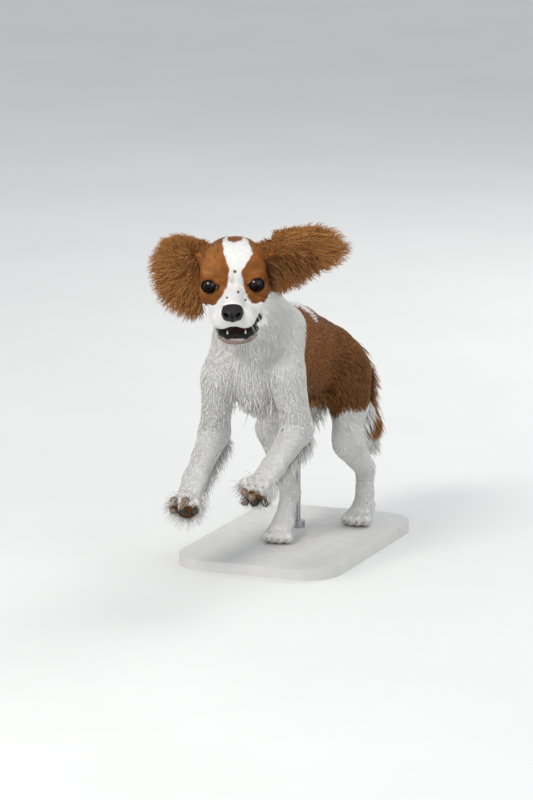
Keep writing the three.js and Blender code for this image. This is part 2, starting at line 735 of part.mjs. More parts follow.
// Feathers behind each forearm, breeches behind each thigh, and wisps round each forepaw
for (const [side, [Side, sign]] of Object.entries(legs)) {
  const j = (name) => joint[name + Side];
  const paw = pawAxes(Side);
  const under = paw.toesUp.clone().negate();
  const arm = ["forearm_" + side];
  const feathers = [];
  for (let i = 0; i < 5; i++) {
    const t = lerp(0.06, 0.7, i / 4);
    const tilt = (i % 2 ? 0.35 : -0.35) + draw(-0.1, 0.1);
    const out = under.clone().addScaledVector(vec(1, 0, 0), tilt).normalize();
    const inside = j("elbow").clone().lerp(j("wrist"), t);
    const root = onCoat(arm, inside, out).addScaledVector(out, -6);
    const way = out.clone().multiplyScalar(0.5).addScaledVector(paw.legDown, 0.75).normalize();
    const length = lerp(36, 24, t) * draw(0.9, 1.1);
    feathers.push(lock(root, way, out, length, draw(15, 18), vec(0, 0, -5), draw(1, 3)));
  }
  growOn("forearm_" + side, feathers, ["upper_foreleg_" + side, "forepaw_" + side, "torso"]);

  const breeches = [];
  for (let i = 0; i < 6; i++) {
    const t = lerp(-0.05, 0.62, i / 5);
    const tilt = (i % 2 ? 0.5 : -0.2) * sign + draw(-0.08, 0.08);
    const out = vec(tilt, 1, 0.05).normalize();
    const inside = j("hip").clone().lerp(j("knee"), t);
    const root = onCoat(["thigh_" + side], inside, out).addScaledVector(out, -7);
    const way = vec(0.12 * sign, 0.3, -1).normalize();
    breeches.push(lock(root, way, vec(0, 1, 0), draw(36, 46), draw(17, 20), vec(0, -3, 0), draw(1, 3)));
  }
  growOn("thigh_" + side, breeches, ["torso", "shank_" + side]);

  const wisps = [];
  for (let i = 0; i < 4; i++) {
    const angle = lerp(-3.0, -0.15, i / 3);
    const out = paw.across
      .clone()
      .multiplyScalar(Math.cos(angle))
      .addScaledVector(paw.toesUp, Math.sin(angle))
      .normalize();
    const inside = j("wrist").clone().lerp(j("knuckle"), 0.5);
    const root = onCoat(["forepaw_" + side], inside, out).addScaledVector(out, -6);
    const way = paw.legDown.clone().addScaledVector(out, 0.42).normalize();
    const flat = way.clone().cross(out);
    wisps.push(lock(root, way, flat, draw(26, 31), draw(13, 15), vec(0, 0, -3), draw(1, 2)));
  }
  growOn("forepaw_" + side, wisps, ["forearm_" + side]);
}

// The display stand: a rounded plate, and a rod up into the belly
const plate = new THREE.Shape();
{
  const x0 = -BASE.width / 2;
  const y0 = -BASE.length / 2;
  const c = BASE.corner;
  plate.moveTo(x0 + c, y0);
  plate.lineTo(x0 + BASE.width - c, y0);
  plate.absarc(x0 + BASE.width - c, y0 + c, c, -Math.PI / 2, 0, false);
  plate.absarc(x0 + BASE.width - c, y0 + BASE.length - c, c, 0, Math.PI / 2, false);
  plate.absarc(x0 + c, y0 + BASE.length - c, c, Math.PI / 2, Math.PI, false);
  plate.absarc(x0 + c, y0 + c, c, Math.PI, 1.5 * Math.PI, false);
}
const plateShape = { depth: BASE.top, bevelEnabled: false, curveSegments: 7 };
const baseSolid = solid(new THREE.ExtrudeGeometry(plate, plateShape));

for (const side of ["left", "right"]) {
  const foot = built["hind_foot_" + side];
  const under = solid(
    new THREE.BoxGeometry(200, 300, 100).translate(0, 30, BASE.top + GAP - 50),
  );
  foot.shape = largest(foot.shape.subtract(under));
}
const pole = (radius, from, to, sides) =>
  solid(
    new THREE.CylinderGeometry(radius, radius, to - from, sides)
      .rotateX(Math.PI / 2)
      .translate(ROD.x, ROD.y, (from + to) / 2),
  );
const rodHole = pole(ROD.radius + GAP, 100, ROD.top + GAP, ROD.sides);
for (const name of ["torso", "thigh_right"]) built[name].shape = largest(built[name].shape.subtract(rodHole));

for (const [name, { shape }] of Object.entries(built)) {
  const brown = name.startsWith("ear") || name === "tail";
  const dark = name.startsWith("eye") || name === "nose";
  add(name, shape, dark ? DARK : brown ? CHESTNUT : WHITE, dark ? 0.25 : 0.85);
}
add("stand_base", baseSolid, 0x2b2a29, 0.5);
const collarFoot = BASE.top + GAP;
const collar = pole(ROD.collar, collarFoot, collarFoot + ROD.collarHeight, ROD.sides);
add("stand_collar", collar.subtract(pole(ROD.radius + GAP, 0, 60, ROD.sides)), 0xb9bcc0, 0.3, 1);
add("stand_rod", pole(ROD.radius, BASE.top + GAP, ROD.top, ROD.sides), 0xb9bcc0, 0.3, 1);

export default group;
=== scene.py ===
"""The looks of a young cavalier king charles spaniel, bounding, on its display stand.

Shapes are worked out in millimetres, in the frame of the CAD model, and made in metres.
"""

import math

import bpy
import numpy as np
from mathutils import Matrix, Vector


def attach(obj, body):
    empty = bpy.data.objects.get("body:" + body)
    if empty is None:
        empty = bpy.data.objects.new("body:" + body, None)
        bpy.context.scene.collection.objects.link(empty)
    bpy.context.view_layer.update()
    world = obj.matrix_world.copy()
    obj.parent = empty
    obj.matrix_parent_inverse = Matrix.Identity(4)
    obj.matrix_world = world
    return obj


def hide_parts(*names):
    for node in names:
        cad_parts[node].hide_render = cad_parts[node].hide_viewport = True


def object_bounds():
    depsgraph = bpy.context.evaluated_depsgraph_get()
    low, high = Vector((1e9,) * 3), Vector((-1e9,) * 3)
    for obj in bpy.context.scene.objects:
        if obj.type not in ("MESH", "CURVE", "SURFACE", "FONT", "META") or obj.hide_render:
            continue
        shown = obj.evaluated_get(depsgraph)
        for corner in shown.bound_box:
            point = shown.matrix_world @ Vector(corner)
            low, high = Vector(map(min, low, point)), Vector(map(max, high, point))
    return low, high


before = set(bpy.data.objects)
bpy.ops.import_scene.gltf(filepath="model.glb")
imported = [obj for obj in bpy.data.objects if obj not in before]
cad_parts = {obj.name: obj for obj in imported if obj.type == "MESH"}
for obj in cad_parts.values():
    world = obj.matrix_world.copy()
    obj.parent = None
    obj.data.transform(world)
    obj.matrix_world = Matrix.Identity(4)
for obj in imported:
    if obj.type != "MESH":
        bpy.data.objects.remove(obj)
cad_low, cad_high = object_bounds()

MM = 0.001
SEED = 11
rng = np.random.default_rng(SEED)
# A distance, in mm, beyond all that lies near
FAR = 1e3
# The top of the stand's plate, and the lowest that the skin reaches over it
FLOOR_TOP = 14.0
SKIN_LOWEST = 14.6

# Camera: the photograph's viewing angle
AZIMUTH = math.radians(22.0)
ELEVATION = math.radians(12.0)
DISTANCE = 6240.0
TARGET = np.array([-41.0, 0.0, 192.0])
LENS = 216.0
SENSOR = 36.0


def vec(*xyz):
    return np.array(xyz, float)


def unit(v):
    v = np.asarray(v, float)
    return v / np.maximum(np.linalg.norm(v, axis=-1, keepdims=True), 1e-9)


def smooth(x, low, high):
    """0 below low, 1 above high, and a soft step between."""
    t = np.clip((np.asarray(x, float) - low) / (high - low), 0, 1)
    return t * t * (3 - 2 * t)


def dot(a, b):
    return np.sum(a * b, axis=-1)


def make_camera():
    back = vec(
        math.sin(AZIMUTH) * math.cos(ELEVATION),
        -math.cos(AZIMUTH) * math.cos(ELEVATION),
        math.sin(ELEVATION),
    )
    data = bpy.data.cameras.new("camera")
    data.lens = LENS
    data.sensor_width = SENSOR
    data.clip_start = 0.05
    data.clip_end = 60
    camera = bpy.data.objects.new("camera", data)
    camera.location = Vector((TARGET + back * DISTANCE) * MM)
    camera.rotation_mode = "QUATERNION"
    camera.rotation_quaternion = Vector(-back).to_track_quat("-Z", "Y")
    bpy.context.collection.objects.link(camera)
    bpy.context.scene.camera = camera


make_camera()

# Joints of the dog in its pose
JOINT = {
    "neck_base": vec(-9, -100, 306),
    "neck_mid": vec(-14, -126, 336),
    "chest_front": vec(-5, -121, 258),
    "ribs_front": vec(-7, -88, 266),
    "ribs_mid": vec(-10, -45, 259),
    "ribs_back": vec(-9, 0, 254),
    "loin": vec(-2, 48, 243),
    "pelvis": vec(8, 88, 229),
    "rump": vec(14, 112, 219),
    "blade_left": vec(32, -92, 314),
    "blade_right": vec(-48, -104, 308),
    "shoulder_left": vec(41, -134, 259),
    "shoulder_right": vec(-52, -132, 248),
    "elbow_left": vec(50, -120, 184),
    "elbow_right": vec(-66, -116, 170),
    "wrist_left": vec(48, -199, 151),
    "wrist_right": vec(-62, -190, 126),
    "knuckle_left": vec(43, -237, 134),
    "knuckle_right": vec(-58, -226, 101),
    "hip_left": vec(36, 92, 214),
    "hip_right": vec(-20, 90, 214),
    "knee_left": vec(53, 50, 137),
    "knee_right": vec(-44, 26, 150),
    "hock_left": vec(50, 124, 83),
    "hock_right": vec(-20, 30, 65),
    "ankle_left": vec(53, 110, 34),
    "ankle_right": vec(-11, -14, 34),
    "toe_left": vec(53, 92, 26.5),
    "toe_right": vec(-8, -37, 26.5),
    "tail_root": vec(15, 138, 238),
    "tail_mid": vec(23, 165, 202),
    "tail_low": vec(32, 178, 150),
    "tail_tip": vec(37, 183, 104),
}

# The head's own frame: across to its left, ahead to the nose, and up
HEAD_YAW = math.radians(20.5)
HEAD_PITCH = math.radians(12)
HEAD_ROLL = math.radians(2.3)
HEAD_AT = vec(-10, -189, 378.5)


def head_axes():
    ahead = vec(
        math.sin(HEAD_YAW) * math.cos(HEAD_PITCH),
        -math.cos(HEAD_YAW) * math.cos(HEAD_PITCH),
        -math.sin(HEAD_PITCH),
    )
    level = vec(math.cos(HEAD_YAW), math.sin(HEAD_YAW), 0)
    upright = -np.cross(level, ahead)
    across = level * math.cos(HEAD_ROLL) + upright * math.sin(HEAD_ROLL)
    up = upright * math.cos(HEAD_ROLL) - level * math.sin(HEAD_ROLL)
    return across, ahead, up


ACROSS, AHEAD, UP = head_axes()


def on_head(x, y, z):
    """A point given in the head's own frame."""
    return HEAD_AT + ACROSS * x + AHEAD * y + UP * z


def in_head(points):
    """Points as x across, y ahead and z up in the head's own frame."""
    r = points - HEAD_AT
    return dot(r, ACROSS), dot(r, AHEAD), dot(r, UP)


JOINT["neck_top"] = on_head(0, -60, -4)


class Mass:
    """A rounded bar from a to b with an oval section, wide along side and deep across it."""

    def __init__(self, a, b, wide, deep, blend, depth, side=(1, 0, 0)):
        self.a = np.asarray(a, float)
        along = np.asarray(b, float) - self.a
        self.length = max(np.linalg.norm(along), 1e-4)
        self.along = along / self.length
        side = np.asarray(side, float)
        self.across = unit(side - self.along * (side @ self.along))
        self.over = np.cross(self.along, self.across)
        self.wide = wide
        self.deep = deep
        self.blend = blend
        self.depth = depth
        self.reach = self.length / 2 + max(*wide, *deep)
        self.middle = self.a + self.along * self.length / 2

    def distance(self, p):
        rel = p - self.a
        reach = rel @ self.along
        t = np.clip(reach / self.length, 0, 1)
        w = self.wide[0] + (self.wide[1] - self.wide[0]) * t
        d = self.deep[0] + (self.deep[1] - self.deep[0]) * t
        e = (w + d) / 2
        x = rel @ self.across
        y = rel @ self.over
        z = reach - t * self.length
        k0 = np.sqrt((x / w) ** 2 + (y / d) ** 2 + (z / e) ** 2)
        k1 = np.sqrt((x / w**2) ** 2 + (y / d**2) ** 2 + (z / e**2) ** 2)
        far = k0 * (k0 - 1) / np.maximum(k1, 1e-9)
        return np.where(k0 < 1e-4, -np.minimum(w, d), far)


def blend_min(a, b, k):
    h = np.maximum(k - np.abs(a - b), 0) / k
    return np.minimum(a, b) - h * h * k * 0.25


def blend_max(a, b, k):
    return -blend_min(-a, -b, k)


def union(bars, p, blend=None):
    """Distance outside the bars together, melted by one blend or else by each bar's own."""
    f = np.full(len(p), FAR)
    for bar in bars:
        f = blend_min(f, bar.distance(p), blend or bar.blend)
    return f


def head_bar(a, b, wide, deep, blend, depth, side=None):
    side = ACROSS if side is None else side
    return Mass(on_head(*a), on_head(*b), wide, deep, blend, depth, side)


def both(a, b, wide, deep, blend, depth):
    return [
        head_bar((a[0] * s, *a[1:]), (b[0] * s, *b[1:]), wide, deep, blend, depth)
        for s in (1, -1)
    ]


# The four toes of a foot, as steps across it, and how short the outer two are
TOES = (-1.5, -0.5, 0.5, 1.5)
OUTER_TOE = 0.78


def toes(at, along, across, spread, radius, length, depth):
    made = []
    for n in TOES:
        reach = length * (OUTER_TOE if abs(n) > 1 else 1)
        root = at + across * n * spread * 0.8
        tip = at + across * n * spread + along * reach
        slim = (radius, radius * 0.9)
        made.append(Mass(root, tip, slim, slim, 2, depth, across))
    return made


def paw_axes(side):
    """The way down a foreleg, the way its paw's back faces, across the paw, and its toes' way."""
    leg_down = unit(JOINT["knuckle_" + side] - JOINT["elbow_" + side])
    toes_up = unit(vec(0, 0, 1) - leg_down * leg_down[2])
    across = unit(np.cross(leg_down, toes_up))
    return leg_down, toes_up, across, unit(toes_up * 0.95 + leg_down * 0.3)


def foot_axes(side):
    """The way a hind foot's toes point over the ground, and the way across it."""
    ahead = unit((JOINT["toe_" + side] - JOINT["ankle_" + side]) * vec(1, 1, 0))
    return ahead, unit(np.cross(ahead, vec(0, 0, 1)))


def make_masses():
    """The masses of each part, nearly as in the CAD model, with the depth of coat over each."""
    j = JOINT
    m = {}
    m["torso"] = [
        Mass(j["chest_front"], j["ribs_front"], (42, 54), (50, 72), 20, 8),
        Mass(j["ribs_front"], j["ribs_mid"], (54, 58), (73, 75), 20, 7),
        Mass(j["ribs_mid"], j["ribs_back"], (58, 54), (75, 69), 20, 6),
        Mass(j["ribs_back"], j["loin"], (54, 46), (69, 56), 20, 6),
        Mass(j["loin"], j["pelvis"], (46, 46), (56, 50), 20, 6),
        Mass(j["pelvis"], j["rump"], (46, 38), (50, 43), 20, 6),
        Mass(j["neck_base"], j["ribs_front"], (46, 48), (42, 50), 24, 7),
        Mass(j["blade_left"], j["shoulder_left"], (18, 20), (26, 26), 18, 5),
        Mass(j["blade_right"], j["shoulder_right"], (22, 23), (28, 27), 18, 5),
    ]
    m["neck"] = [
        Mass(j["neck_base"], j["neck_mid"], (50, 46), (48, 45), 20, 8),
        Mass(j["neck_mid"], j["neck_top"], (46, 40), (45, 41), 20, 8),
    ]
    m["head"] = [
        head_bar((0, -46, 15), (0, -30, 16), (41, 42), (33, 33), 10, 3),
        *both((21, -20, 12), (20, -11, 11), (17, 14), (18, 13), 14, 1.6),
        *both((30, -38, -14), (31, -14, -14), (18, 15), (27, 20), 12, 2.4),
        head_bar((0, -6, -9), (0, 40, -14), (15, 13.5), (12, 11), 10, 1),
        *both((18, 8, -29), (14.5, 35, -29), (15, 14.5), (16, 14.5), 8, 1),
        head_bar((0, 10, -29), (0, 39, -28.5), (10, 9), (11, 9.5), 8, 1),
        *both((18, -2, -13), (18, 9, -18), (8, 8), (8, 8), 10, 1),
        head_bar((20, 14, -25), (33, 12, -18), (9, 6.5), (9, 6.5), 8, 0.5),
        head_bar((0, -44, -26), (0, -16, -28), (28, 22), (22, 16), 12, 3),
    ]
    m["jaw"] = [
        head_bar((2, -16, -54), (3, 8, -61), (27, 27), (9, 8), 8, 1),
        head_bar((3, 8, -61), (3.5, 27, -61), (27, 21.5), (8, 6.5), 8, 0.6),
    ]
    m["ear_right"] = [
        head_bar((-38, -37, 34), (-58, -41, 26), (15, 20), (8, 7), 12, 3, UP),
        head_bar((-68, -43, 22), (-64, -45, -14), (21, 17), (6, 5), 12, 2.5),
    ]
    m["ear_left"] = [
        head_bar((40, -37, 28), (62, -43, 22), (17, 24), (8, 7), 12, 3, UP),
        head_bar((70, -46, 20), (92, -50, 20), (25, 20), (6, 5), 12, 2.5, UP),
    ]
    for side, sign in (("left", 1), ("right", -1)):
        def at(name):
            return j[name + "_" + side]

        m["upper_foreleg_" + side] = [
            Mass(at("shoulder"), at("elbow"), (25, 21), (32, 26), 14, 5)
        ]
        m["forearm_" + side] = [
            Mass(at("elbow"), at("wrist"), (21, 15.5), (23, 16), 10, 3)
        ]
        leg_down, toes_up, across, toes_way = paw_axes(side)
        heel = at("knuckle") - toes_up * 7 + leg_down * 2
        m["forepaw_" + side] = [
            Mass(at("wrist"), at("knuckle"), (16.5, 17.5), (16, 14), 8, 2.5),
            Mass(heel, at("knuckle"), (14, 18), (12, 13), 6, 2, across),
            *toes(at("knuckle") + leg_down * 3, toes_way, across, 9.4, 8.4, 11, 1.6),
        ]
        m["thigh_" + side] = [
            Mass(at("hip"), at("knee"), (27, 20), (44, 27), 18, 5),
            Mass(at("hip"), at("hip") + vec(5 * sign, -4, -34), (28, 26), (46, 40), 18, 5),
        ]
        m["shank_" + side] = [Mass(at("knee"), at("hock"), (20, 12), (28, 17), 12, 3)]
        ahead, foot_across = foot_axes(side)
        m["hind_foot_" + side] = [
            Mass(at("hock"), at("ankle"), (12.5, 13), (15, 14), 8, 2.2),
            Mass(at("ankle"), at("toe"), (15, 18), (13, 13.5), 8, 2),
            *toes(at("toe") - vec(0, 0, 4), ahead, foot_across, 9, 9, 15, 1.6),
        ]
    m["tail"] = [
        Mass(j["tail_root"], j["tail_mid"], (12, 9), (12, 10), 8, 4),
        Mass(j["tail_mid"], j["tail_low"], (9, 8), (10, 9), 8, 4),
        Mass(j["tail_low"], j["tail_tip"], (8, 5), (9, 5), 8, 2.5),
    ]
    return m


MASSES = make_masses()
ALL = [(name, mass) for name, group in MASSES.items() for mass in group]

# The eyes, their lids and the mouth, in the head's own frame. The opening of the lids is half
# its width and half its height.
EYE_SIDE = 28.6
EYE_AHEAD = -3.0
EYE_RADIUS = 10.5
LID_THICK = 1.5
OPENING = (9.0, 8.2)
GAZE = {sign: unit(ACROSS * 0.24 * sign + AHEAD * 0.96 + UP * 0.12) for sign in (1, -1)}
EYE_AT = {sign: on_head(EYE_SIDE * sign, EYE_AHEAD, 0) for sign in (1, -1)}


def eye_frame(sign):
    """Across and up as seen looking into one eye; across runs outward."""
    gaze = GAZE[sign]
    side = unit(ACROSS * sign - gaze * (ACROSS @ gaze) * sign)
    return side, unit(UP - gaze * (UP @ gaze) - side * (UP @ side))


def opening(points, sign):
    """How far outside the almond of one eye's opening points lie, in mm."""
    side, up = eye_frame(sign)
    r = points - EYE_AT[sign]
    u, v = r @ side, r @ up
    v = v - 0.03 * u
    high = np.where(v > 0, OPENING[1], OPENING[1] * 0.93)
    # The inner corner is drawn out to a point
    high = high * (1 - 0.35 * smooth(-u, 4.5, 10))
    wide = np.where(u < 0, OPENING[0] * 1.13, OPENING[0])
    k = np.sqrt((u / wide) ** 2 + (v / high) ** 2)
    return (k - 1) * OPENING[1]


MOUTH = head_bar((2, -12, -48.5), (3.5, 34, -49), (29, 25), (6, 6.2), 4, 0)
PHILTRUM = head_bar((0, 52, -24), (0, 50, -40), (0.9, 0.9), (3.4, 3.0), 4, 0, ACROSS)


def skin_field(p):
    """Distance outside the skin at points p. Deep inside it is only roughly true."""
    f = np.full(len(p), FAR)
    lo, hi = p.min(0), p.max(0)
    middle, half = (lo + hi) / 2, np.linalg.norm(hi - lo) / 2
    for _, mass in ALL:
        if np.linalg.norm(middle - mass.middle) > half + mass.reach + 40:
            continue
        f = blend_min(f, mass.distance(p) + mass.depth, mass.blend)
    if np.linalg.norm(middle - HEAD_AT) < half + 110:
        f = carve_head(p, f)
    return f


def carve_head(p, f):
    x, y, z = in_head(p)
    # The stop: a shallow furrow between the eyes
    f = f + 1.2 * np.exp(-((x / 3.0) ** 2) - ((y + 2) / 16) ** 2) * (z > -8) * (y > -30)
    for sign in (1, -1):
        r = np.linalg.norm(p - EYE_AT[sign], axis=1)
        front = smooth((p - EYE_AT[sign]) @ GAZE[sign], -4, 2)
        f = blend_max(f, EYE_RADIUS + 0.35 - r, 0.8)
        out = opening(p, sign)
        shell = np.abs(r - EYE_RADIUS - 0.3 - LID_THICK / 2) - LID_THICK / 2
        lid = np.maximum(shell, -out)
        lid = np.where(front > 0.02, lid, FAR)
        f = blend_min(f, lid, 2.2)
        f = np.where(front > 0.02, blend_max(f, -(out - 0.2), 1.0), f)
    f = blend_max(f, -MOUTH.distance(p), 2.5)
    f = blend_max(f, -PHILTRUM.distance(p), 2.0)
    return f


# Cells along each side of a block of the grid
BLOCK = 16


def surface_nets(field, axes):
    """Quads of the field's zero, on a grid whose steps may differ from place to place."""
    sizes = [(len(a) - 1) // BLOCK for a in axes]
    axes = [a[: s * BLOCK + 1] for a, s in zip(axes, sizes)]
    values = np.full([len(a) for a in axes], FAR, np.float32)
    span = np.arange(BLOCK + 1)
    for i in range(sizes[0]):
        for j in range(sizes[1]):
            for k in range(sizes[2]):
                at = [i * BLOCK + span, j * BLOCK + span, k * BLOCK + span]
                xyz = [axes[d][at[d]] for d in range(3)]
                centre = vec(*[(c[0] + c[-1]) / 2 for c in xyz])
                half = np.linalg.norm([(c[-1] - c[0]) / 2 for c in xyz])
                f = field(centre[None])[0]
                window = np.ix_(*at)
                if abs(f) > half * 1.15 + 3:
                    if f < 0:
                        values[window] = -FAR
                    continue
                grid = np.stack(np.meshgrid(*xyz, indexing="ij"), -1).reshape(-1, 3)
                values[window] = field(grid).reshape([BLOCK + 1] * 3)
    return nets_from_grid(values, axes)


def nets_from_grid(values, axes):
    """One vertex in each cell that the surface crosses, and a quad round each edge it cuts."""
    inside = values < 0
    shape = np.array(values.shape) - 1
    corners = [(a, b, c) for a in (0, 1) for b in (0, 1) for c in (0, 1)]
    full = np.zeros(shape, int)
    for a, b, c in corners:
        full += inside[a : a + shape[0], b : b + shape[1], c : c + shape[2]]
    active = (full > 0) & (full < 8)
    ids = -np.ones(shape, int)
    cells = np.argwhere(active)
    ids[active] = np.arange(len(cells))
    total = np.zeros((len(cells), 3))
    count = np.zeros(len(cells))
    for corner in corners:
        for axis in range(3):
            if corner[axis]:
                continue
            other = list(corner)
            other[axis] = 1
            va = values[tuple(cells[:, d] + corner[d] for d in range(3))].astype(float)
            vb = values[tuple(cells[:, d] + other[d] for d in range(3))].astype(float)
            cross = (va < 0) != (vb < 0)
            t = np.where(cross, va / np.where(cross, va - vb, 1), 0)
            place = np.tile(np.array(corner, float), (len(cells), 1))
            place[:, axis] += t
            total[cross] += place[cross]
            count[cross] += 1
    at = cells + total / np.maximum(count, 1)[:, None]
    lines = [np.interp(at[:, d], np.arange(len(axes[d])), axes[d]) for d in range(3)]
    verts = np.stack(lines, 1)
    quads = []
    for axis in range(3):
        first = [slice(1, -1)] * 3
        first[axis] = slice(0, -1)
        second = [slice(1, -1)] * 3
        second[axis] = slice(1, None)
        edges = np.argwhere(inside[tuple(first)] != inside[tuple(second)])
        shift = np.ones(3, int)
        shift[axis] = 0
        edges = edges + shift
        flip = inside[tuple(edges.T)]
        b1, b2 = [d for d in range(3) if d != axis]

        def cell(d1, d2):
            q = edges.copy()
            q[:, b1] -= d1
            q[:, b2] -= d2
            return ids[tuple(q.T)]

        quad = np.stack([cell(1, 1), cell(0, 1), cell(0, 0), cell(1, 0)], 1)
        turn = flip if axis != 1 else ~flip
        quads.append(np.where(turn[:, None], quad, quad[:, ::-1]))
    quads = np.concatenate(quads)
    return verts, quads[(quads >= 0).all(1)]


def steps(parts):
    """A grid line from (start, end, step) parts that follow each other."""
    line = [np.arange(a, b, s) for a, b, s in parts]
    return np.concatenate([*line, [parts[-1][1]]])


def gradient(field, p, h=0.4):
    g = np.zeros_like(p)
    for d in range(3):
        shift = np.zeros(3)
        shift[d] = h
        g[:, d] = field(p + shift) - field(p - shift)
    return g / (2 * h)


def in_chunks(function, p, size=4096):
    order = np.lexsort((p[:, 0] // 24, p[:, 1] // 24, p[:, 2] // 24))
    out = None
    for s in range(0, len(p), size):
        part = order[s : s + size]
        got = function(p[part])
        if out is None:
            out = np.zeros((len(p), *got.shape[1:]))
        out[part] = got
    return out


def project(field, verts, rounds=2, most=1.0):
    """Moves vertices onto the field's zero, and gives the outward direction there."""
    for _ in range(rounds):
        g = in_chunks(lambda q: gradient(field, q), verts)
        f = in_chunks(lambda q: field(q)[:, None], verts)[:, 0]
        size = np.maximum(dot(g, g), 0.2)
        move = np.clip(-f / size, -most, most)
        verts = verts + g * move[:, None]
    return verts, unit(in_chunks(lambda q: gradient(field, q, 0.8), verts))


# The skin's grid along x, y and z, with finer steps where the head is
SKIN_GRID = [
    [(-100, 100, 1.7), (100, 132, 2.4)],
    [(-262, -150, 1.25), (-150, 232, 2.4)],
    [(14, 318, 2.1), (318, 440, 1.25)],
]
SKIN, QUADS = surface_nets(skin_field, [steps(parts) for parts in SKIN_GRID])
SKIN, NORMALS = project(skin_field, SKIN)
SKIN[:, 2] = np.maximum(SKIN[:, 2], SKIN_LOWEST)
print("skin", len(SKIN), "vertices", len(QUADS), "quads")

# Which part each point of the skin belongs to
NAMES = list(MASSES)


def index(name):
    return NAMES.index(name)


def part_distances(p):
    out = np.full((len(p), len(NAMES)), FAR)
    for i, name in enumerate(NAMES):
        for mass in MASSES[name]:
            out[:, i] = np.minimum(out[:, i], mass.distance(p) + mass.depth)
    return out


def nearness(far, soft=7.0):
    """How much each point belongs to each part; the shares of a point add up to 1."""
    w = np.exp(-(far - far.min(1, keepdims=True)) / soft)
    return w / w.sum(1, keepdims=True)


WEIGHT = nearness(in_chunks(part_distances, SKIN))

# A noise made of a few fixed waves, from -1 to 1
WAVES = unit(rng.normal(size=(9, 3)))
PHASE = rng.uniform(0, 6.28, 9)
PITCH = rng.uniform(0.7, 1.5, 9)


def ripple(p, size):
    """Smooth uneven values from -1 to 1, with features about size mm across."""
    total = np.zeros(len(p))
    for way, phase, pitch in zip(WAVES, PHASE, PITCH):
        total += np.sin(p @ way * (6.28 / size) * pitch * 0.6 + phase)
    return np.clip(total / 4.2, -1, 1)


# Markings. Each is a share from 0 to 1: brown coat, dark in it (random tone, and painted shade in
# places), pale tan (painted light in places), freckles.
BLAZE_HEIGHTS = [-60, -25, -15, 0, 17, 38, 61, 90]
BLAZE_LEFT_EDGE = [-30, -23, -15, -6.5, -3.2, -8.5, -13.5, -12]
BLAZE_RIGHT_EDGE = [30, 24, 18, 12, 12, 26, 18, 12]
# Each freckle of the face as how far across, how high as seen from ahead, and its radius
FRECKLES = [
    (3.4, 16.7, 1.3),
    (6.9, -9, 1.2),
    (-6.6, -16, 1.0),
    (15.4, -19, 1.1),
    (-11, -27, 0.9),
    (12, -30, 0.9),
]
# Each freckle of the forelegs as x, z and its radius
LEG_FRECKLES = [(-76, 155, 1.6), (-77, 151, 1.0), (42, 193, 2.0)]
# The front edge of the patch on the left ribs slants back from the withers to the elbow
RIB_HEIGHTS = [180, 205, 221, 250, 287, 321, 345]
RIB_FRONT = [-106, -92, -82, -90, -104, -88, -76]


def head_marks(p):
    x, y, z = in_head(p)
    seen = 0.914 * z - 0.407 * y
    wob = ripple(p, 9) * 1.3
    left = np.interp(seen, BLAZE_HEIGHTS, BLAZE_LEFT_EDGE)
    right = np.interp(seen, BLAZE_HEIGHTS, BLAZE_RIGHT_EDGE)
    taper = smooth(y, -72, -38)
    mid = (left + right) / 2
    left = mid + (left - mid) * taper
    right = mid + (right - mid) * taper
    white = smooth(x - left + wob, -1.2, 1.2) * smooth(right - x + wob, -1.2, 1.2)
    spot = np.hypot((x - 3) / 10, (seen - 58) / 4.0)
    white = white * smooth(spot + wob * 0.05, 0.8, 1.15)
    muzzle = smooth(-23 - seen + wob, -1.5, 1.5) * smooth(y + wob, -7, -2)
    # The cheek under the right eye reaches lower than the one under the left
    throat = smooth(np.where(x < 0, -36, -23) - z + wob, -2, 2) * smooth(-y, 2, 9)
    throat = np.maximum(throat, smooth(-47 - z + wob, -2, 2))
    white = np.maximum(white, np.maximum(muzzle, throat))
    brown = 1 - white
    specks = np.zeros(len(p))
    for fx, fv, size in FRECKLES:
        spot = smooth(size * 1.15 - np.hypot(x - fx, seen - fv), -0.5, 0.5)
        spot = spot * (y > -20)
        brown = np.maximum(brown, spot)
        specks = np.maximum(specks, spot)
    # Warm tan over the brows and under the eyes, and dark brown behind the eyes and under the ears,
    # painted shade
    tan = np.zeros(len(p))
    dark = smooth(-y, 22, 55) * 0.7 * smooth(30 - z, -12, 16)
    dark = np.maximum(dark, 0.30 + 0.30 * ripple(p, 16))
    for sign in (1, -1):
        gap = opening(p, sign) + 60 * ((p - EYE_AT[sign]) @ GAZE[sign] < -6)
        over = smooth(z + 0.35 * (x * sign - EYE_SIDE), -1, 7)
        tan += 0.9 * np.exp(-(((gap - 8.5) / 2.6) ** 2)) * over
        tan += 0.5 * np.exp(-(((gap - 5.0) / 2.4) ** 2)) * (1 - over)
        tan += 0.55 * np.exp(-(((x * sign - 27) / 9) ** 2) - ((z - 40) / 12) ** 2)
        corner = np.exp(-(((x * sign - 18.5) / 3.2) ** 2) - ((seen + 6.5) / 3.0) ** 2)
        # Painted shade round the rim of each eye and in its inner corner
        dark = np.maximum(dark, 0.9 * smooth(4.2 - gap, 0, 3.0))
        dark = np.maximum(dark, 0.9 * corner * (y > -20))
    # Painted shade on the left cheek, under the flung ear
    dark = np.maximum(dark, 0.75 * smooth(x, 36, 46) * smooth(12 - np.abs(z + 6), -6, 8))
    # Painted shade under the eyes, and painted light paling the coat over the right one, on the
    # side the light comes from
    dark = np.maximum(dark, 0.66 * smooth(-9 - seen, -3, 7) * (y > -36))
    tan += 0.45 * smooth(-x, 10, 18) * smooth(seen, 10, 22)
    return brown, dark, np.clip(tan, 0, 1), specks


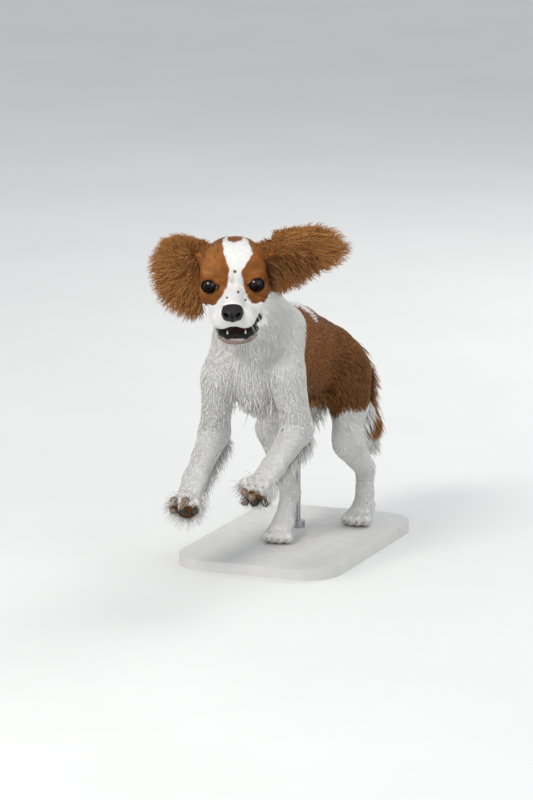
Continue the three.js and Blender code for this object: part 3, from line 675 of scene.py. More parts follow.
def body_marks(p):
    """Brown patches: left ribs, right flank, and the rump down to the thighs."""
    x, y, z = p[:, 0], p[:, 1], p[:, 2]
    wob = ripple(p, 26) * 5 + ripple(p, 9) * 2
    side = x + 6
    front = np.interp(z, RIB_HEIGHTS, RIB_FRONT)
    edge = np.where((z < 205) & (y < 0), 13, 16)
    rib = np.minimum.reduce([y - front, side - edge, z - np.where(y < 0, 150, 176), 38 - y])
    notch = 7 - np.hypot((y + 6) * 0.75, (z - 318) * 0.5 + (x - 30) * 0.2)
    rib = np.minimum(rib, -notch)
    rump = np.minimum.reduce([y - 20, z - 176 + 0.05 * (y - 20) - 6])
    inner = np.where(side > 0, z - 172, z - 182)
    rump = np.minimum(rump, inner)
    right = np.minimum.reduce([y + 30, -side - 16, z - 205, 70 - y])
    brown = np.maximum.reduce([rib, rump, right]) + wob
    brown = smooth(brown, -1.5, 1.5)
    belly = np.maximum(smooth(z - 186, -6, 6), smooth(x, 0, 8) * smooth(-y, 4, 12))
    # Painted shade: the brown darkens toward the rump and low on the flanks; the ripple is random
    # tone
    dark = 0.45 + 0.3 * smooth(y, 0, 50) + 0.3 * smooth(270 - z, 0, 70) + 0.2 * ripple(p, 30)
    none = np.zeros(len(p))
    return brown * np.where(y < 10, belly, 1), np.clip(dark, 0, 1), none, none


def leg_marks(p):
    x, y, z = p[:, 0], p[:, 1], p[:, 2]
    none = np.zeros(len(p))
    # A brown strip down the right shank and a brown patch behind the left elbow
    strip = np.exp(-(((z - 92) / 26) ** 2) - ((x + 6) / 6) ** 2) * (y > -20) * (y < 60) * (x < 15)
    brown = smooth(strip, 0.45, 0.6)
    behind = smooth(y + ripple(p, 9) * 2, -110, -102) * (x > 20) * smooth(z, 178, 186)
    brown = np.maximum(brown, behind * smooth(232 - z, -4, 4))
    for fx, fz, size in LEG_FRECKLES:
        r = np.hypot(x - fx, z - fz)
        brown = np.maximum(brown, smooth(size - r, -0.6, 0.6) * (y < -120) * 0.8)
    return brown, none, none, none


def sole_marks(p, side):
    """The soiled hair under a lifted forepaw, brown round its pads."""
    leg_down, toes_up, _, _ = paw_axes(side)
    r = p - JOINT["knuckle_" + side]
    low = -9 if side == "left" else 2
    brown = smooth(r @ leg_down - 0.45 * (r @ toes_up - low) + 1.2 * ripple(p, 6), 5.5, 8.5)
    tan = 0.9 * np.ones(len(p))
    return brown * 0.7, 0.45 + 0.4 * ripple(p, 7), tan, 0.55 * brown


def ear_marks(p):
    x, y, z = in_head(p)
    brown = np.ones(len(p))
    dark = np.where(x > 0, 0.3, 0.2) + 0.6 * ripple(p, 10)
    # Painted shade: the right ear's inner edge along the cheek and the underside of the flung left
    # ear are made dark
    right_inner_shade = smooth(x, -64, -46) * smooth(24 - z, 0, 24) * (x < 0)
    left_under_shade = smooth(14 - z, 0, 26) * smooth(86 - x, 0, 28) * (x > 0)
    dark = np.clip(np.maximum(dark, 0.95 * np.maximum(right_inner_shade, left_under_shade)), 0, 1)
    tan = (0.35 + 0.65 * smooth(np.abs(x), 62, 115)) * (1 - 0.85 * dark)
    return brown, dark, tan, np.zeros(len(p))


def marks_of(p, weight):
    """Mixes the markings of the parts near each point: columns brown, dark, tan, freckles.

    The neck has none, so it is white.
    """
    out = np.zeros((len(p), 4))
    body = np.stack(body_marks(p), 1)
    legs = np.stack(leg_marks(p), 1)
    head = np.stack(head_marks(p), 1)
    ears = np.stack(ear_marks(p), 1)
    for i, name in enumerate(NAMES):
        w = weight[:, i : i + 1]
        if name in ("head", "jaw"):
            out += w * head
        elif name.startswith("ear"):
            out += w * ears
        elif name.startswith("forepaw"):
            out += w * np.stack(sole_marks(p, name[8:]), 1)
        elif name == "torso" or name.startswith("thigh"):
            out += w * body
        elif name == "tail":
            z = p[:, 2:3]
            brown = smooth(z, 120, 135)
            out += w * np.concatenate([brown, 0.3 * brown, 0 * z, 0 * z], 1)
        elif name != "neck":
            out += w * legs
    out[:, 0] = smooth(out[:, 0], 0.38, 0.62)
    return out


def bare_marks(p, weight):
    """Where bare skin shows: lid rims, lips and the mouth, as (pink, black)."""
    _, y, z = in_head(p)
    black = np.zeros(len(p))
    for sign in (1, -1):
        r = np.linalg.norm(p - EYE_AT[sign], axis=1)
        rim = smooth(1.3 - opening(p, sign), -0.6, 0.6) * (r < EYE_RADIUS + 6)
        rim = rim * ((p - EYE_AT[sign]) @ GAZE[sign] > 0)
        black = np.maximum(black, rim)
    gap = MOUTH.distance(p)
    black = np.maximum(black, smooth(1.9 - gap, -0.6, 0.6))
    black = np.maximum(black, smooth(2.8 - gap, -0.6, 0.6) * smooth(-y, -14, -8))
    # The lower lip is black at its edge and a bare pinkish brown down to the chin
    jaw = weight[:, index("jaw")] * smooth(y, -6, 4)
    edge = z + 0.9 * ripple(p, 9)
    black = np.maximum(black, smooth(edge, -58.6, -56.6) * (jaw > 0.5))
    pink = 0.9 * smooth(edge, -72.0, -65.0) * smooth(y, 6, 20) * (jaw > 0.5) * (1 - black)
    return np.stack([pink, np.maximum(black - pink, 0)], 1)


def add_piece(name, verts_mm, faces, look):
    """Adds a piece, from vertices in mm and an array of faces with equally many corners."""
    mesh = bpy.data.meshes.new(name)
    n, k = faces.shape
    mesh.vertices.add(len(verts_mm))
    mesh.vertices.foreach_set("co", (verts_mm * MM).astype(np.float32).ravel())
    mesh.loops.add(n * k)
    mesh.loops.foreach_set("vertex_index", faces.astype(np.int32).ravel())
    mesh.polygons.add(n)
    mesh.polygons.foreach_set("loop_start", np.arange(0, n * k, k, dtype=np.int32))
    mesh.polygons.foreach_set("use_smooth", np.full(n, True))
    mesh.update(calc_edges=True)
    mesh.materials.append(look)
    obj = bpy.data.objects.new(name, mesh)
    bpy.context.collection.objects.link(obj)
    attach(obj, "root")
    return obj


def point_colour(obj, name, values):
    """Stores up to four numbers a vertex for the materials to read."""
    layer = obj.data.color_attributes.new(name, "FLOAT_COLOR", "POINT")
    full = np.zeros((len(obj.data.vertices), 4), np.float32)
    full[:, : values.shape[1]] = values
    layer.data.foreach_set("color", full.ravel())


class Nodes:
    """Adds nodes to a material and joins them by name."""

    def __init__(self, name):
        self.material = bpy.data.materials.new(name)
        self.material.use_nodes = True
        self.tree = self.material.node_tree
        self.tree.nodes.clear()

    def add(self, kind, inputs=None, **settings):
        node = self.tree.nodes.new(kind)
        for key, value in settings.items():
            setattr(node, key, value)
        for key, value in (inputs or {}).items():
            socket = node.inputs[key]
            if isinstance(value, bpy.types.NodeSocket):
                self.tree.links.new(value, socket)
            elif socket.type == "RGBA":
                # Colours are given without their alpha
                socket.default_value = (*value, 1)
            else:
                socket.default_value = value
        return node

    def mix(self, factor, a, b, blend="MIX"):
        inputs = {0: factor, 6: a, 7: b}
        return self.add("ShaderNodeMix", inputs, data_type="RGBA", blend_type=blend).outputs[2]

    def math(self, operation, a, b=0.0, c=0.0):
        return self.add("ShaderNodeMath", {0: a, 1: b, 2: c}, operation=operation).outputs[0]

    def noise(self, scale, detail, place=None):
        if place is None:
            place = self.add("ShaderNodeTexCoord").outputs["Object"]
        inputs = {"Vector": place, "Scale": scale, "Detail": detail}
        return self.add("ShaderNodeTexNoise", inputs).outputs[0]

    def bump(self, height, strength, distance):
        inputs = {"Height": height, "Strength": strength, "Distance": distance}
        return self.add("ShaderNodeBump", inputs).outputs[0]

    def ramp(self, value, low, high):
        node = self.add("ShaderNodeMapRange", {"Value": value, "From Min": low, "From Max": high})
        node.clamp = True
        return node.outputs[0]

    def split(self, name):
        attribute = self.add("ShaderNodeAttribute", attribute_name=name)
        parts = self.add("ShaderNodeSeparateColor", {"Color": attribute.outputs["Color"]})
        return [*parts.outputs[:3], attribute.outputs["Alpha"]]

    def finish(self, colour, rough, more):
        inputs = {"Base Color": colour, "Roughness": rough, **more}
        shader = self.add("ShaderNodeBsdfPrincipled", inputs)
        out = self.add("ShaderNodeOutputMaterial")
        self.tree.links.new(shader.outputs[0], out.inputs[0])
        return self.material


WHITE = (0.88, 0.87, 0.84)
WHITE_SHADE = (0.84, 0.825, 0.79)
CHESTNUT = (0.37, 0.115, 0.020)
CHESTNUT_DARK = (0.085, 0.024, 0.006)
TAN = (0.61, 0.285, 0.092)
LIP = (0.15, 0.075, 0.05)
BLACK = (0.010, 0.008, 0.008)
SOIL = (0.35, 0.27, 0.18)
FRECKLE = (0.035, 0.03, 0.028)


def coat_colour(n):
    """The coat's colour from the markings, shared by the skin and the tufts."""
    brown, dark, tan, specks = n.split("marks")
    chestnut = n.mix(dark, CHESTNUT, CHESTNUT_DARK)
    chestnut = n.mix(n.math("MULTIPLY", tan, 0.55), chestnut, TAN)
    return brown, chestnut, specks


def fur_material():
    n = Nodes("fur")
    along, chance, hue, _ = n.split("strand")
    brown, chestnut, specks = coat_colour(n)
    # Painted highlight: brown hair is paled toward tan at its tips and on tufts and bunches picked
    # at random, as if lit
    lit = n.math("MULTIPLY_ADD", chance, 0.55, n.math("MULTIPLY", along, 0.7))
    pale = n.mix(n.ramp(lit, 0.30, 1.0), chestnut, TAN)
    chestnut = n.mix(0.72, chestnut, pale)
    # Painted shade: brown hair darkens toward its roots, as if shaded by the coat over it
    root_shade = n.math("MULTIPLY_ADD", along, 0.65, 0.35)
    shade = n.add("ShaderNodeCombineColor", {0: root_shade, 1: root_shade, 2: root_shade}).outputs[0]
    chestnut = n.mix(1.0, chestnut, shade, "MULTIPLY")
    # Painted shade: white hair is greyer toward its roots and on tufts picked at random
    painted_white_light = n.math("MULTIPLY_ADD", chance, 0.6, along)
    white = n.mix(n.ramp(painted_white_light, 0.0, 0.8), WHITE_SHADE, WHITE)
    colour = n.mix(brown, white, chestnut)
    colour = n.mix(n.math("MULTIPLY", n.ramp(hue, 0, 1), 0.08), colour, SOIL)
    colour = n.mix(specks, colour, FRECKLE)
    return n.finish(colour, 0.6, {"Specular IOR Level": 0.12})


def skin_material():
    n = Nodes("skin")
    brown, chestnut, specks = coat_colour(n)
    pink, black, _, _ = n.split("bare")
    hair = n.noise(620.0, 5.0)
    white = n.mix(n.ramp(hair, 0.3, 0.7), WHITE_SHADE, WHITE)
    shade = n.mix(n.ramp(n.noise(130.0, 3.0), 0.35, 0.65), CHESTNUT_DARK, CHESTNUT)
    chestnut = n.mix(0.3, chestnut, shade)
    colour = n.mix(brown, white, chestnut)
    colour = n.mix(specks, colour, FRECKLE)
    colour = n.mix(pink, colour, LIP)
    colour = n.mix(black, colour, BLACK)
    bare = n.math("MAXIMUM", black, pink)
    rough = n.math("SUBTRACT", 0.75, n.math("MULTIPLY", bare, 0.35))
    shine = n.math("MULTIPLY_ADD", bare, 0.3, 0.1)
    normal = n.bump(hair, 0.55, 0.0007)
    return n.finish(colour, rough, {"Specular IOR Level": shine, "Normal": normal})


def nose_material():
    n = Nodes("nose_leather")
    place = n.add("ShaderNodeTexCoord").outputs["Object"]
    pebbles = {"Vector": place, "Scale": 1050.0}
    edge = n.add("ShaderNodeTexVoronoi", pebbles, feature="DISTANCE_TO_EDGE").outputs[0]
    fine = n.noise(900.0, 4.0, place)
    height = n.math("MULTIPLY_ADD", fine, 0.3, n.ramp(edge, 0.0, 0.12))
    # Painted shade: the grooves between the pebbles are darker
    colour = n.mix(n.ramp(edge, 0.0, 0.1), (0.001, 0.001, 0.001), (0.006, 0.005, 0.005))
    normal = n.bump(height, 0.5, 0.0003)
    rough = n.ramp(fine, -0.2, 1.6)
    return n.finish(colour, rough, {"Specular IOR Level": 0.4, "Normal": normal})


def eye_material():
    """Its strand says how far a point lies from the pupil's middle, its turn round that middle
    and how far up it faces.
    """
    n = Nodes("eye")
    far, turn, painted_sky_reflection, _ = n.split("strand")
    polar = {0: n.math("MULTIPLY", turn, 40.0), 1: n.math("MULTIPLY", far, 4.0)}
    polar = n.add("ShaderNodeCombineXYZ", polar).outputs[0]
    streak = n.ramp(n.noise(1.0, 4.0, polar), 0.3, 0.7)
    iris = n.mix(streak, (0.008, 0.003, 0.0015), (0.022, 0.009, 0.004))
    colour = n.mix(n.ramp(far, 0.36, 0.42), (0.001, 0.001, 0.001), iris)
    colour = n.mix(n.ramp(far, 0.74, 0.82), colour, (0.004, 0.003, 0.002))
    colour = n.mix(n.ramp(far, 1.07, 1.15), colour, (0.36, 0.28, 0.25))
    # Painted reflection: the upward-facing part mirrors more, the lower part less, as painted shade
    # of the lids
    shine = n.math("MULTIPLY_ADD", painted_sky_reflection, 0.22, 0.03)
    wet = n.math("MULTIPLY_ADD", painted_sky_reflection, 0.3, 0.02)
    gloss = {"Specular IOR Level": shine, "Coat Weight": wet, "Coat Roughness": 0.02}
    return n.finish(colour, 0.10, gloss)


def plain_material(name, low, high, roughness, scale, bump=0.3, distance=0.0005, metallic=0.0):
    """One noise mixes two colours and raises the surface a little."""
    n = Nodes(name)
    noise = n.noise(scale, 6.0)
    colour = n.mix(n.ramp(noise, 0.3, 0.7), low, high)
    return n.finish(
        colour, roughness, {"Metallic": metallic, "Normal": n.bump(noise, bump, distance)}
    )


FUR = fur_material()

# The skin, one surface over all the flesh
BARE = bare_marks(SKIN, WEIGHT)
skin = add_piece("skin", SKIN, QUADS, skin_material())
point_colour(skin, "marks", marks_of(SKIN, WEIGHT))
point_colour(skin, "bare", BARE)
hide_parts(*[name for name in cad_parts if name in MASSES])

# The eyes: rings round the gaze, swollen in front by a share of the radius
EYE_RINGS = 24
EYE_AROUND = 48
SWELL = 0.045
EYE_LOOK = eye_material()
for sign, side in ((1, "left"), (-1, "right")):
    right, up = eye_frame(sign)
    theta = np.linspace(0, np.pi, EYE_RINGS + 1)[1:-1]
    phi = np.linspace(0, 2 * np.pi, EYE_AROUND, endpoint=False)
    t, a = np.meshgrid(theta, phi, indexing="ij")
    swell = 1 + SWELL * np.exp(-((t / 0.45) ** 2))
    ring = (
        GAZE[sign] * (np.cos(t) * swell)[..., None]
        + right * (np.sin(t) * np.cos(a))[..., None]
        + up * (np.sin(t) * np.sin(a))[..., None]
    ).reshape(-1, 3)
    points = np.concatenate([ring, [GAZE[sign] * (1 + SWELL)], [-GAZE[sign]]])
    verts = EYE_AT[sign] + points * (EYE_RADIUS - 0.1)
    grid = np.arange(len(ring)).reshape(EYE_RINGS - 1, EYE_AROUND)
    step = np.roll(grid, -1, axis=1)
    faces = np.stack([grid[:-1], grid[1:], step[1:], step[:-1]], -1).reshape(-1, 4)
    tris = np.concatenate([faces[:, [0, 1, 2]], faces[:, [0, 2, 3]]])
    front = np.stack([np.full(EYE_AROUND, len(ring)), grid[0], step[0]], 1)
    back = np.stack([np.full(EYE_AROUND, len(ring) + 1), step[-1], grid[-1]], 1)
    eye = add_piece("eyeball_" + side, verts, np.concatenate([tris, front, back]), EYE_LOOK)
    # The right eye is turned a little up and out
    turned = vec(0.10, 0.09) if sign < 0 else vec(0.0, 0.0)
    looking = unit(GAZE[sign] + right * turned[0] + up * turned[1])
    far = np.arccos(np.clip(unit(points) @ looking, -1, 1)) / 1.05
    turn = np.concatenate([a.ravel() / (2 * np.pi), [0.0], [0.0]])
    # Painted shade of the lids: the lower half is given less mirror than the upper half
    lit = smooth(points @ UP, -0.05, 0.5)
    point_colour(eye, "strand", np.stack([far, turn, lit], 1))
    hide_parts("eye_" + side)

# The nose pad
NOSE = [
    head_bar((0, 44.5, -15), (0, 51, -16.4), (13.0, 12.2), (9.4, 8.6), 3, 0),
    *both((7.6, 46.5, -18.5), (6.8, 52, -19.4), (6.4, 5.8), (6.8, 6.2), 3, 0),
    head_bar((0, 47, -22.5), (0, 50, -24), (5.5, 4.5), (5.6, 4.6), 4, 0),
]
# Each nostril is a round hole with a slit that runs out and back from it
NOSTRILS = []
for s in (1, -1):
    NOSTRILS += [
        head_bar((7.2 * s, 61, -16.4), (8.2 * s, 48, -14.8), (3.3, 2.7), (2.6, 2.2), 2, 0),
        head_bar((10.4 * s, 60, -18.8), (13.6 * s, 52, -20.2), (1.6, 1.3), (1.3, 1.1), 2, 0),
    ]
NOSE_GROOVE = head_bar((0, 60, -15), (0, 56, -29), (0.5, 0.5), (2.4, 3.0), 2, 0)


def nose_field(p):
    f = union(NOSE, p)
    for bar in NOSTRILS:
        f = blend_max(f, -bar.distance(p), 1.2)
    return blend_max(f, -NOSE_GROOVE.distance(p), 1.4)


def local_nets(field, centre, half, step):
    """The field's surface within half of the centre each way, on a grid of one step."""
    axes = [np.arange(c - h, c + h + step * BLOCK, step) for c, h in zip(centre, half)]
    verts, quads = surface_nets(field, axes)
    return project(field, verts)[0], quads


verts, quads = local_nets(nose_field, on_head(0, 50, -17), (20, 20, 20), 0.7)
nose = add_piece("nose_pad", verts, quads, nose_material())
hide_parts("nose")

# The tongue, with a groove along its middle
TONGUE = head_bar((2, -8, -51.5), (3.5, 21, -54), (14, 12), (3.2, 2.4), 4, 0)


def tongue_field(p):
    x, _, _ = in_head(p)
    return TONGUE.distance(p) + 0.9 * np.exp(-(((x - 3) / 1.6) ** 2))


verts, quads = local_nets(tongue_field, on_head(3, 7, -53), (26, 30, 20), 1.0)
# Painted shade: the tongue is coloured nearly black, as the shade inside the mouth
TONGUE_DARK = (0.045, 0.014, 0.013)
TONGUE_PALE = (0.085, 0.030, 0.027)
TONGUE_LOOK = plain_material("tongue", TONGUE_DARK, TONGUE_PALE, 0.45, 800.0, 0.5)
tongue = add_piece("tongue_soft", verts, quads, TONGUE_LOOK)
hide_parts("tongue")


def spike(base, tip, radius, around=10, levels=6, bow=(0, 0, 0)):
    """A bowed cone, closed at both ends, as vertices and triangles."""
    base, tip, bow = np.asarray(base), np.asarray(tip), np.asarray(bow, float)
    way = unit(tip - base)
    side = unit(np.cross(way, vec(0.31, 0.2, 0.93)))
    over = np.cross(way, side)
    verts = []
    for i in range(levels):
        t = i / levels
        r = radius * (1 - t**1.6) ** 0.8
        at = base + (tip - base) * t + bow * math.sin(math.pi * t)
        for k in range(around):
            a = 2 * math.pi * k / around
            verts.append(at + side * r * math.cos(a) + over * r * math.sin(a))
    verts += [tip, base]
    tris = []
    for i in range(levels - 1):
        for k in range(around):
            p, q = i * around + k, i * around + (k + 1) % around
            tris += [(p, q, q + around), (p, q + around, p + around)]
    top, low = len(verts) - 2, len(verts) - 1
    last = (levels - 1) * around
    for k in range(around):
        tris.append((last + k, last + (k + 1) % around, top))
        tris.append(((k + 1) % around, k, low))
    return np.array(verts), np.array(tris)


def joined(parts):
    """The vertices and triangles of several meshes as one."""
    verts, tris, start = [], [], 0
    for v, t in parts:
        verts.append(v)
        tris.append(t + start)
        start += len(v)
    return np.concatenate(verts), np.concatenate(tris)


# The black gum of the lower jaw, in front and along both sides
GUMS = [
    head_bar((-8, 32, -54.8), (14, 32, -54.8), (4.0, 4.0), (4.4, 4.4), 3, 0, AHEAD),
    head_bar((-8, 32, -54.8), (-18, 18, -54.8), (4.0, 4.0), (4.4, 4.2), 3, 0),
    head_bar((14, 32, -54.8), (24, 18, -54.8), (4.0, 4.0), (4.4, 4.2), 3, 0),
]
verts, quads = local_nets(lambda p: union(GUMS, p), on_head(3, 20, -54), (30, 36, 22), 1.2)
GUM_LOOK = plain_material("gum", (0.002, 0.001, 0.001), (0.006, 0.003, 0.003), 0.85, 500.0)
add_piece("gums", verts, quads, GUM_LOOK)

# The tips of the two lower canines stand out of the gum
TOOTH_ROOT = -56.0
CANINE_TOP = -45.5
teeth = [
    spike(on_head(x, 32, TOOTH_ROOT), on_head(x * 1.05, 35, CANINE_TOP), 1.7, bow=AHEAD * 0.8)
    for x in (-8.0, 14.0)
]
ENAMEL = plain_material("enamel", (0.66, 0.60, 0.48), (0.80, 0.76, 0.66), 0.25, 300.0, 0.1)
add_piece("teeth", *joined(teeth), ENAMEL)

# The pads under the lifted forepaws, and the claws of all four feet. A pad is how far it lies
# across the paw, up toward the toes and down the leg, its size, and how black it is.
PADS_AT = [
    (11.5, 12.5, 8.5, 6.2, 0.1),
    (-3.5, 14.0, 8.5, 6.2, 0.2),
    (15.5, -2.5, 8.5, 6.2, 0.15),
    (-14.0, -1.0, 8.5, 5.6, 0.8),
    (0.0, 0.5, 12.0, 6.2, 1.0),
    (3.0, 8.0, 11.5, 4.8, 0.0),
]
# How much further from the toes the left paw's pads lie
PAD_DROP = {"left": 13.0, "right": 0.0}


def pad_material():
    n = Nodes("pad_leather")
    black, _, _, _ = n.split("strand")
    grit = n.noise(420.0, 5.0)
    worn = n.mix(n.ramp(grit, 0.35, 0.65), (0.095, 0.062, 0.04), (0.33, 0.245, 0.165))
    colour = n.mix(black, worn, (0.012, 0.010, 0.009))
    return n.finish(colour, 0.55, {"Normal": n.bump(grit, 0.7, 0.0006)})


PAD_LOOK = pad_material()
CLAW_LOOK = plain_material("claw", (0.26, 0.21, 0.17), (0.48, 0.41, 0.33), 0.35, 500.0, 0.2)
for side in ("left", "right"):
    leg_down, toes_up, across, toes_way = paw_axes(side)
    knuckle = JOINT["knuckle_" + side]
    drop = PAD_DROP[side]
    bars, blacks = [], []
    for out, up, down, size, black in PADS_AT:
        up = up - drop
        at = knuckle + across * out + toes_up * up + leg_down * down
        at = at + leg_down * 0.28 * drop * (up < 0)
        wide, deep = (size, size * 0.9), (size * 0.85, size * 0.8)
        bars.append(Mass(at, at + leg_down, wide, deep, 2, 0, across))
        blacks.append(black)

    def pads_field(p):
        return union(bars, p, 2.6) + 0.5 * ripple(p, 5)

    verts, quads = local_nets(pads_field, knuckle + leg_down * 9, (34, 34, 34), 1.0)
    pads = add_piece("pads_" + side, verts, quads, PAD_LOOK)
    near = np.stack([bar.distance(verts) for bar in bars], 1).argmin(1)
    point_colour(pads, "strand", np.array(blacks)[near][:, None])

    claws = []
    ahead, foot_across = foot_axes(side)
    for n in TOES:
        reach = 8.6 if abs(n) > 1 else 11.0
        at = knuckle + leg_down * 8 + across * n * 9.4 + toes_way * (reach + 1)
        claws.append(spike(at, at + toes_way * 1.5 + leg_down * 6.0, 1.25, bow=toes_way * 0.9))
        reach = 11.7 if abs(n) > 1 else 15.0
        at = JOINT["toe_" + side] - vec(0, 0, 4) + foot_across * n * 9 + ahead * (reach + 5.5)
        claws.append(spike(at, at + ahead * 4.6 - vec(0, 0, 5.0), 1.3, bow=vec(0, 0, 0.9)))
    add_piece("claws_" + side, *joined(claws), CLAW_LOOK)

# The coat: closed three-sided tufts over the skin. Each tuft is a root, an outward
# direction, a way to lie, and numbers for its size and shape.
FIRST, SECOND, THIRD, FOURTH = (SKIN[QUADS[:, k]] for k in range(4))
QUAD_AREA = 0.5 * np.linalg.norm(np.cross(THIRD - FIRST, FOURTH - SECOND), axis=1)
# The quads in the order of small cells of the room round the dog, so that even steps
# through their areas spread evenly over the skin
CELL_SIZE = 7
CELL = np.floor((FIRST + 300) / CELL_SIZE).astype(int)
QUAD_ORDER = np.lexsort((CELL[:, 0], CELL[:, 1] * (1 - 2 * (CELL[:, 0] % 2)), CELL[:, 2]))


def scatter(count, weight):
    """Even random points on the skin, denser where weight, given for each vertex, is higher."""
    area = QUAD_AREA * weight[QUADS].mean(1)
    total = np.cumsum(area[QUAD_ORDER])
    if total[-1] <= 0:
        return np.zeros((0, 3)), np.zeros((0, 3))
    at = (np.arange(count) + rng.uniform(0, 1, count)) / count * total[-1]
    quad = QUAD_ORDER[np.minimum(np.searchsorted(total, at), len(total) - 1)]
    a, b = rng.uniform(0, 1, (2, count, 1))
    corner = SKIN[QUADS[quad]]
    turned = NORMALS[QUADS[quad]]

    def mixed(c):
        return (c[:, 0] * (1 - a) + c[:, 1] * a) * (1 - b) + (c[:, 3] * (1 - a) + c[:, 2] * a) * b

    return mixed(corner), unit(mixed(turned))


# The way the coat of each part lies
TO = {
    "neck": unit(unit(JOINT["neck_base"] - JOINT["neck_top"]) * 0.9 + vec(0, 0, -0.45)),
    "jaw": unit(-AHEAD * 0.75 - UP * 0.6),
    "tail": unit(JOINT["tail_low"] - JOINT["tail_mid"]),
}
for side in ("left", "right"):
    leg_down, toes_up, _, toes_way = paw_axes(side)
    TO["upper_foreleg_" + side] = unit(
        unit(JOINT["elbow_" + side] - JOINT["shoulder_" + side]) + vec(0, 0.25, 0)
    )
    TO["forearm_" + side] = unit(JOINT["wrist_" + side] - JOINT["elbow_" + side])
    TO["forepaw_" + side] = unit(leg_down + toes_way * 0.4)
    TO["thigh_" + side] = unit(vec(0, 0.35, -1))
    TO["shank_" + side] = unit(JOINT["hock_" + side] - JOINT["knee_" + side])
    foot = unit(JOINT["toe_" + side] - JOINT["ankle_" + side])
    TO["hind_foot_" + side] = unit(
        unit(JOINT["ankle_" + side] - JOINT["hock_" + side]) * 0.6 + foot * 0.8
    )
# Each flung ear's root, how far ahead its rim lies, and its outline from below round to the
# top, in the head's own frame
EARS = {
    "ear_right": (
        (-44, -38, 30),
        -45,
        [(-42, 50), (-67, 56), (-93, 47), (-110, 14)]
        + [(-104, -24), (-88, -49), (-62, -62), (-45, -58)],
    ),
    "ear_left": (
        (48, -39, 26),
        -52,
        [(54, -34), (80, -28), (106, -12), (140, 4), (150, 26), (128, 52), (92, 58), (54, 57)],
    ),
}


def lie_of(p, weight):
    """The way the coat lies at points p."""
    out = np.zeros((len(p), 3))
    for i, name in enumerate(NAMES):
        w = weight[:, i : i + 1]
        if name == "head":
            way = unit(p - on_head(0, 44, -8)) - UP * 0.15
        elif name in EARS:
            way = unit(p - on_head(*EARS[name][0]))
        elif name == "torso":
            front = smooth(-p[:, 1], 78, 122)[:, None]
            flank = smooth(320 - p[:, 2], 0, 60)[:, None]
            back = vec(0, 1, -0.12) + vec(0, 0, -0.5) * flank
            spread = np.stack([(p[:, 0] + 8) / 130, np.zeros(len(p)), -np.ones(len(p))], 1)
            way = unit(back * (1 - front) + spread * front)
        else:
            way = TO[name]
        out += w * way
    swirl = 0.16 * ripple(p, 38)
    out = unit(out)
    return unit(out + np.cross(out, vec(0.3, 0.5, 0.8)) * swirl[:, None])


def along_surface(way, normal):
    return unit(way - normal * dot(way, normal)[:, None])


def unwrap(p, weight, parts):
    """A place in the unit square for each root, from the angle round its part and the way along."""
    part = weight[:, [index(n) for n in parts]].argmax(1)
    columns = int(math.ceil(math.sqrt(len(parts))))
    rows = int(math.ceil(len(parts) / columns))
    uv = np.zeros((len(p), 2))
    for i, name in enumerate(parts):
        chosen = np.flatnonzero(part == i)
        if not len(chosen):
            continue
        q = p[chosen]
        chain = MASSES[name]
        start, end = chain[0].a, chain[-1].a + chain[-1].along * chain[-1].length
        if name == "head":
            start, end = on_head(0, -80, 0), on_head(0, 55, -10)
        if name == "torso":
            start, end = JOINT["chest_front"] - vec(0, 40, 0), JOINT["rump"] + vec(0, 40, 0)
        axis = unit(end - start)
        side = unit(np.cross(axis, vec(0.21, 0.17, 0.96)))
        over = np.cross(axis, side)
        r = q - start
        v = np.clip((r @ axis) / np.linalg.norm(end - start), -0.25, 1.25)
        v = (v + 0.25) / 1.5
        u = np.arctan2(r @ over, r @ side) / (2 * np.pi) + 0.5
        column, row = i % columns, i // columns
        uv[chosen, 0] = (column + 0.03 + 0.94 * u) / columns
        uv[chosen, 1] = (row + 0.03 + 0.94 * v) / rows
    return np.clip(uv, 0.004, 0.992)


# The side of each tuft's patch in the unit square
PATCH = 0.003
# Hair may stand this share of each side proud of the solids
PROUD = 0.027
sides = np.array(cad_high) - np.array(cad_low)
BOX_LOW = (np.array(cad_low) - sides * PROUD) / MM
BOX_HIGH = (np.array(cad_high) + sides * PROUD) / MM


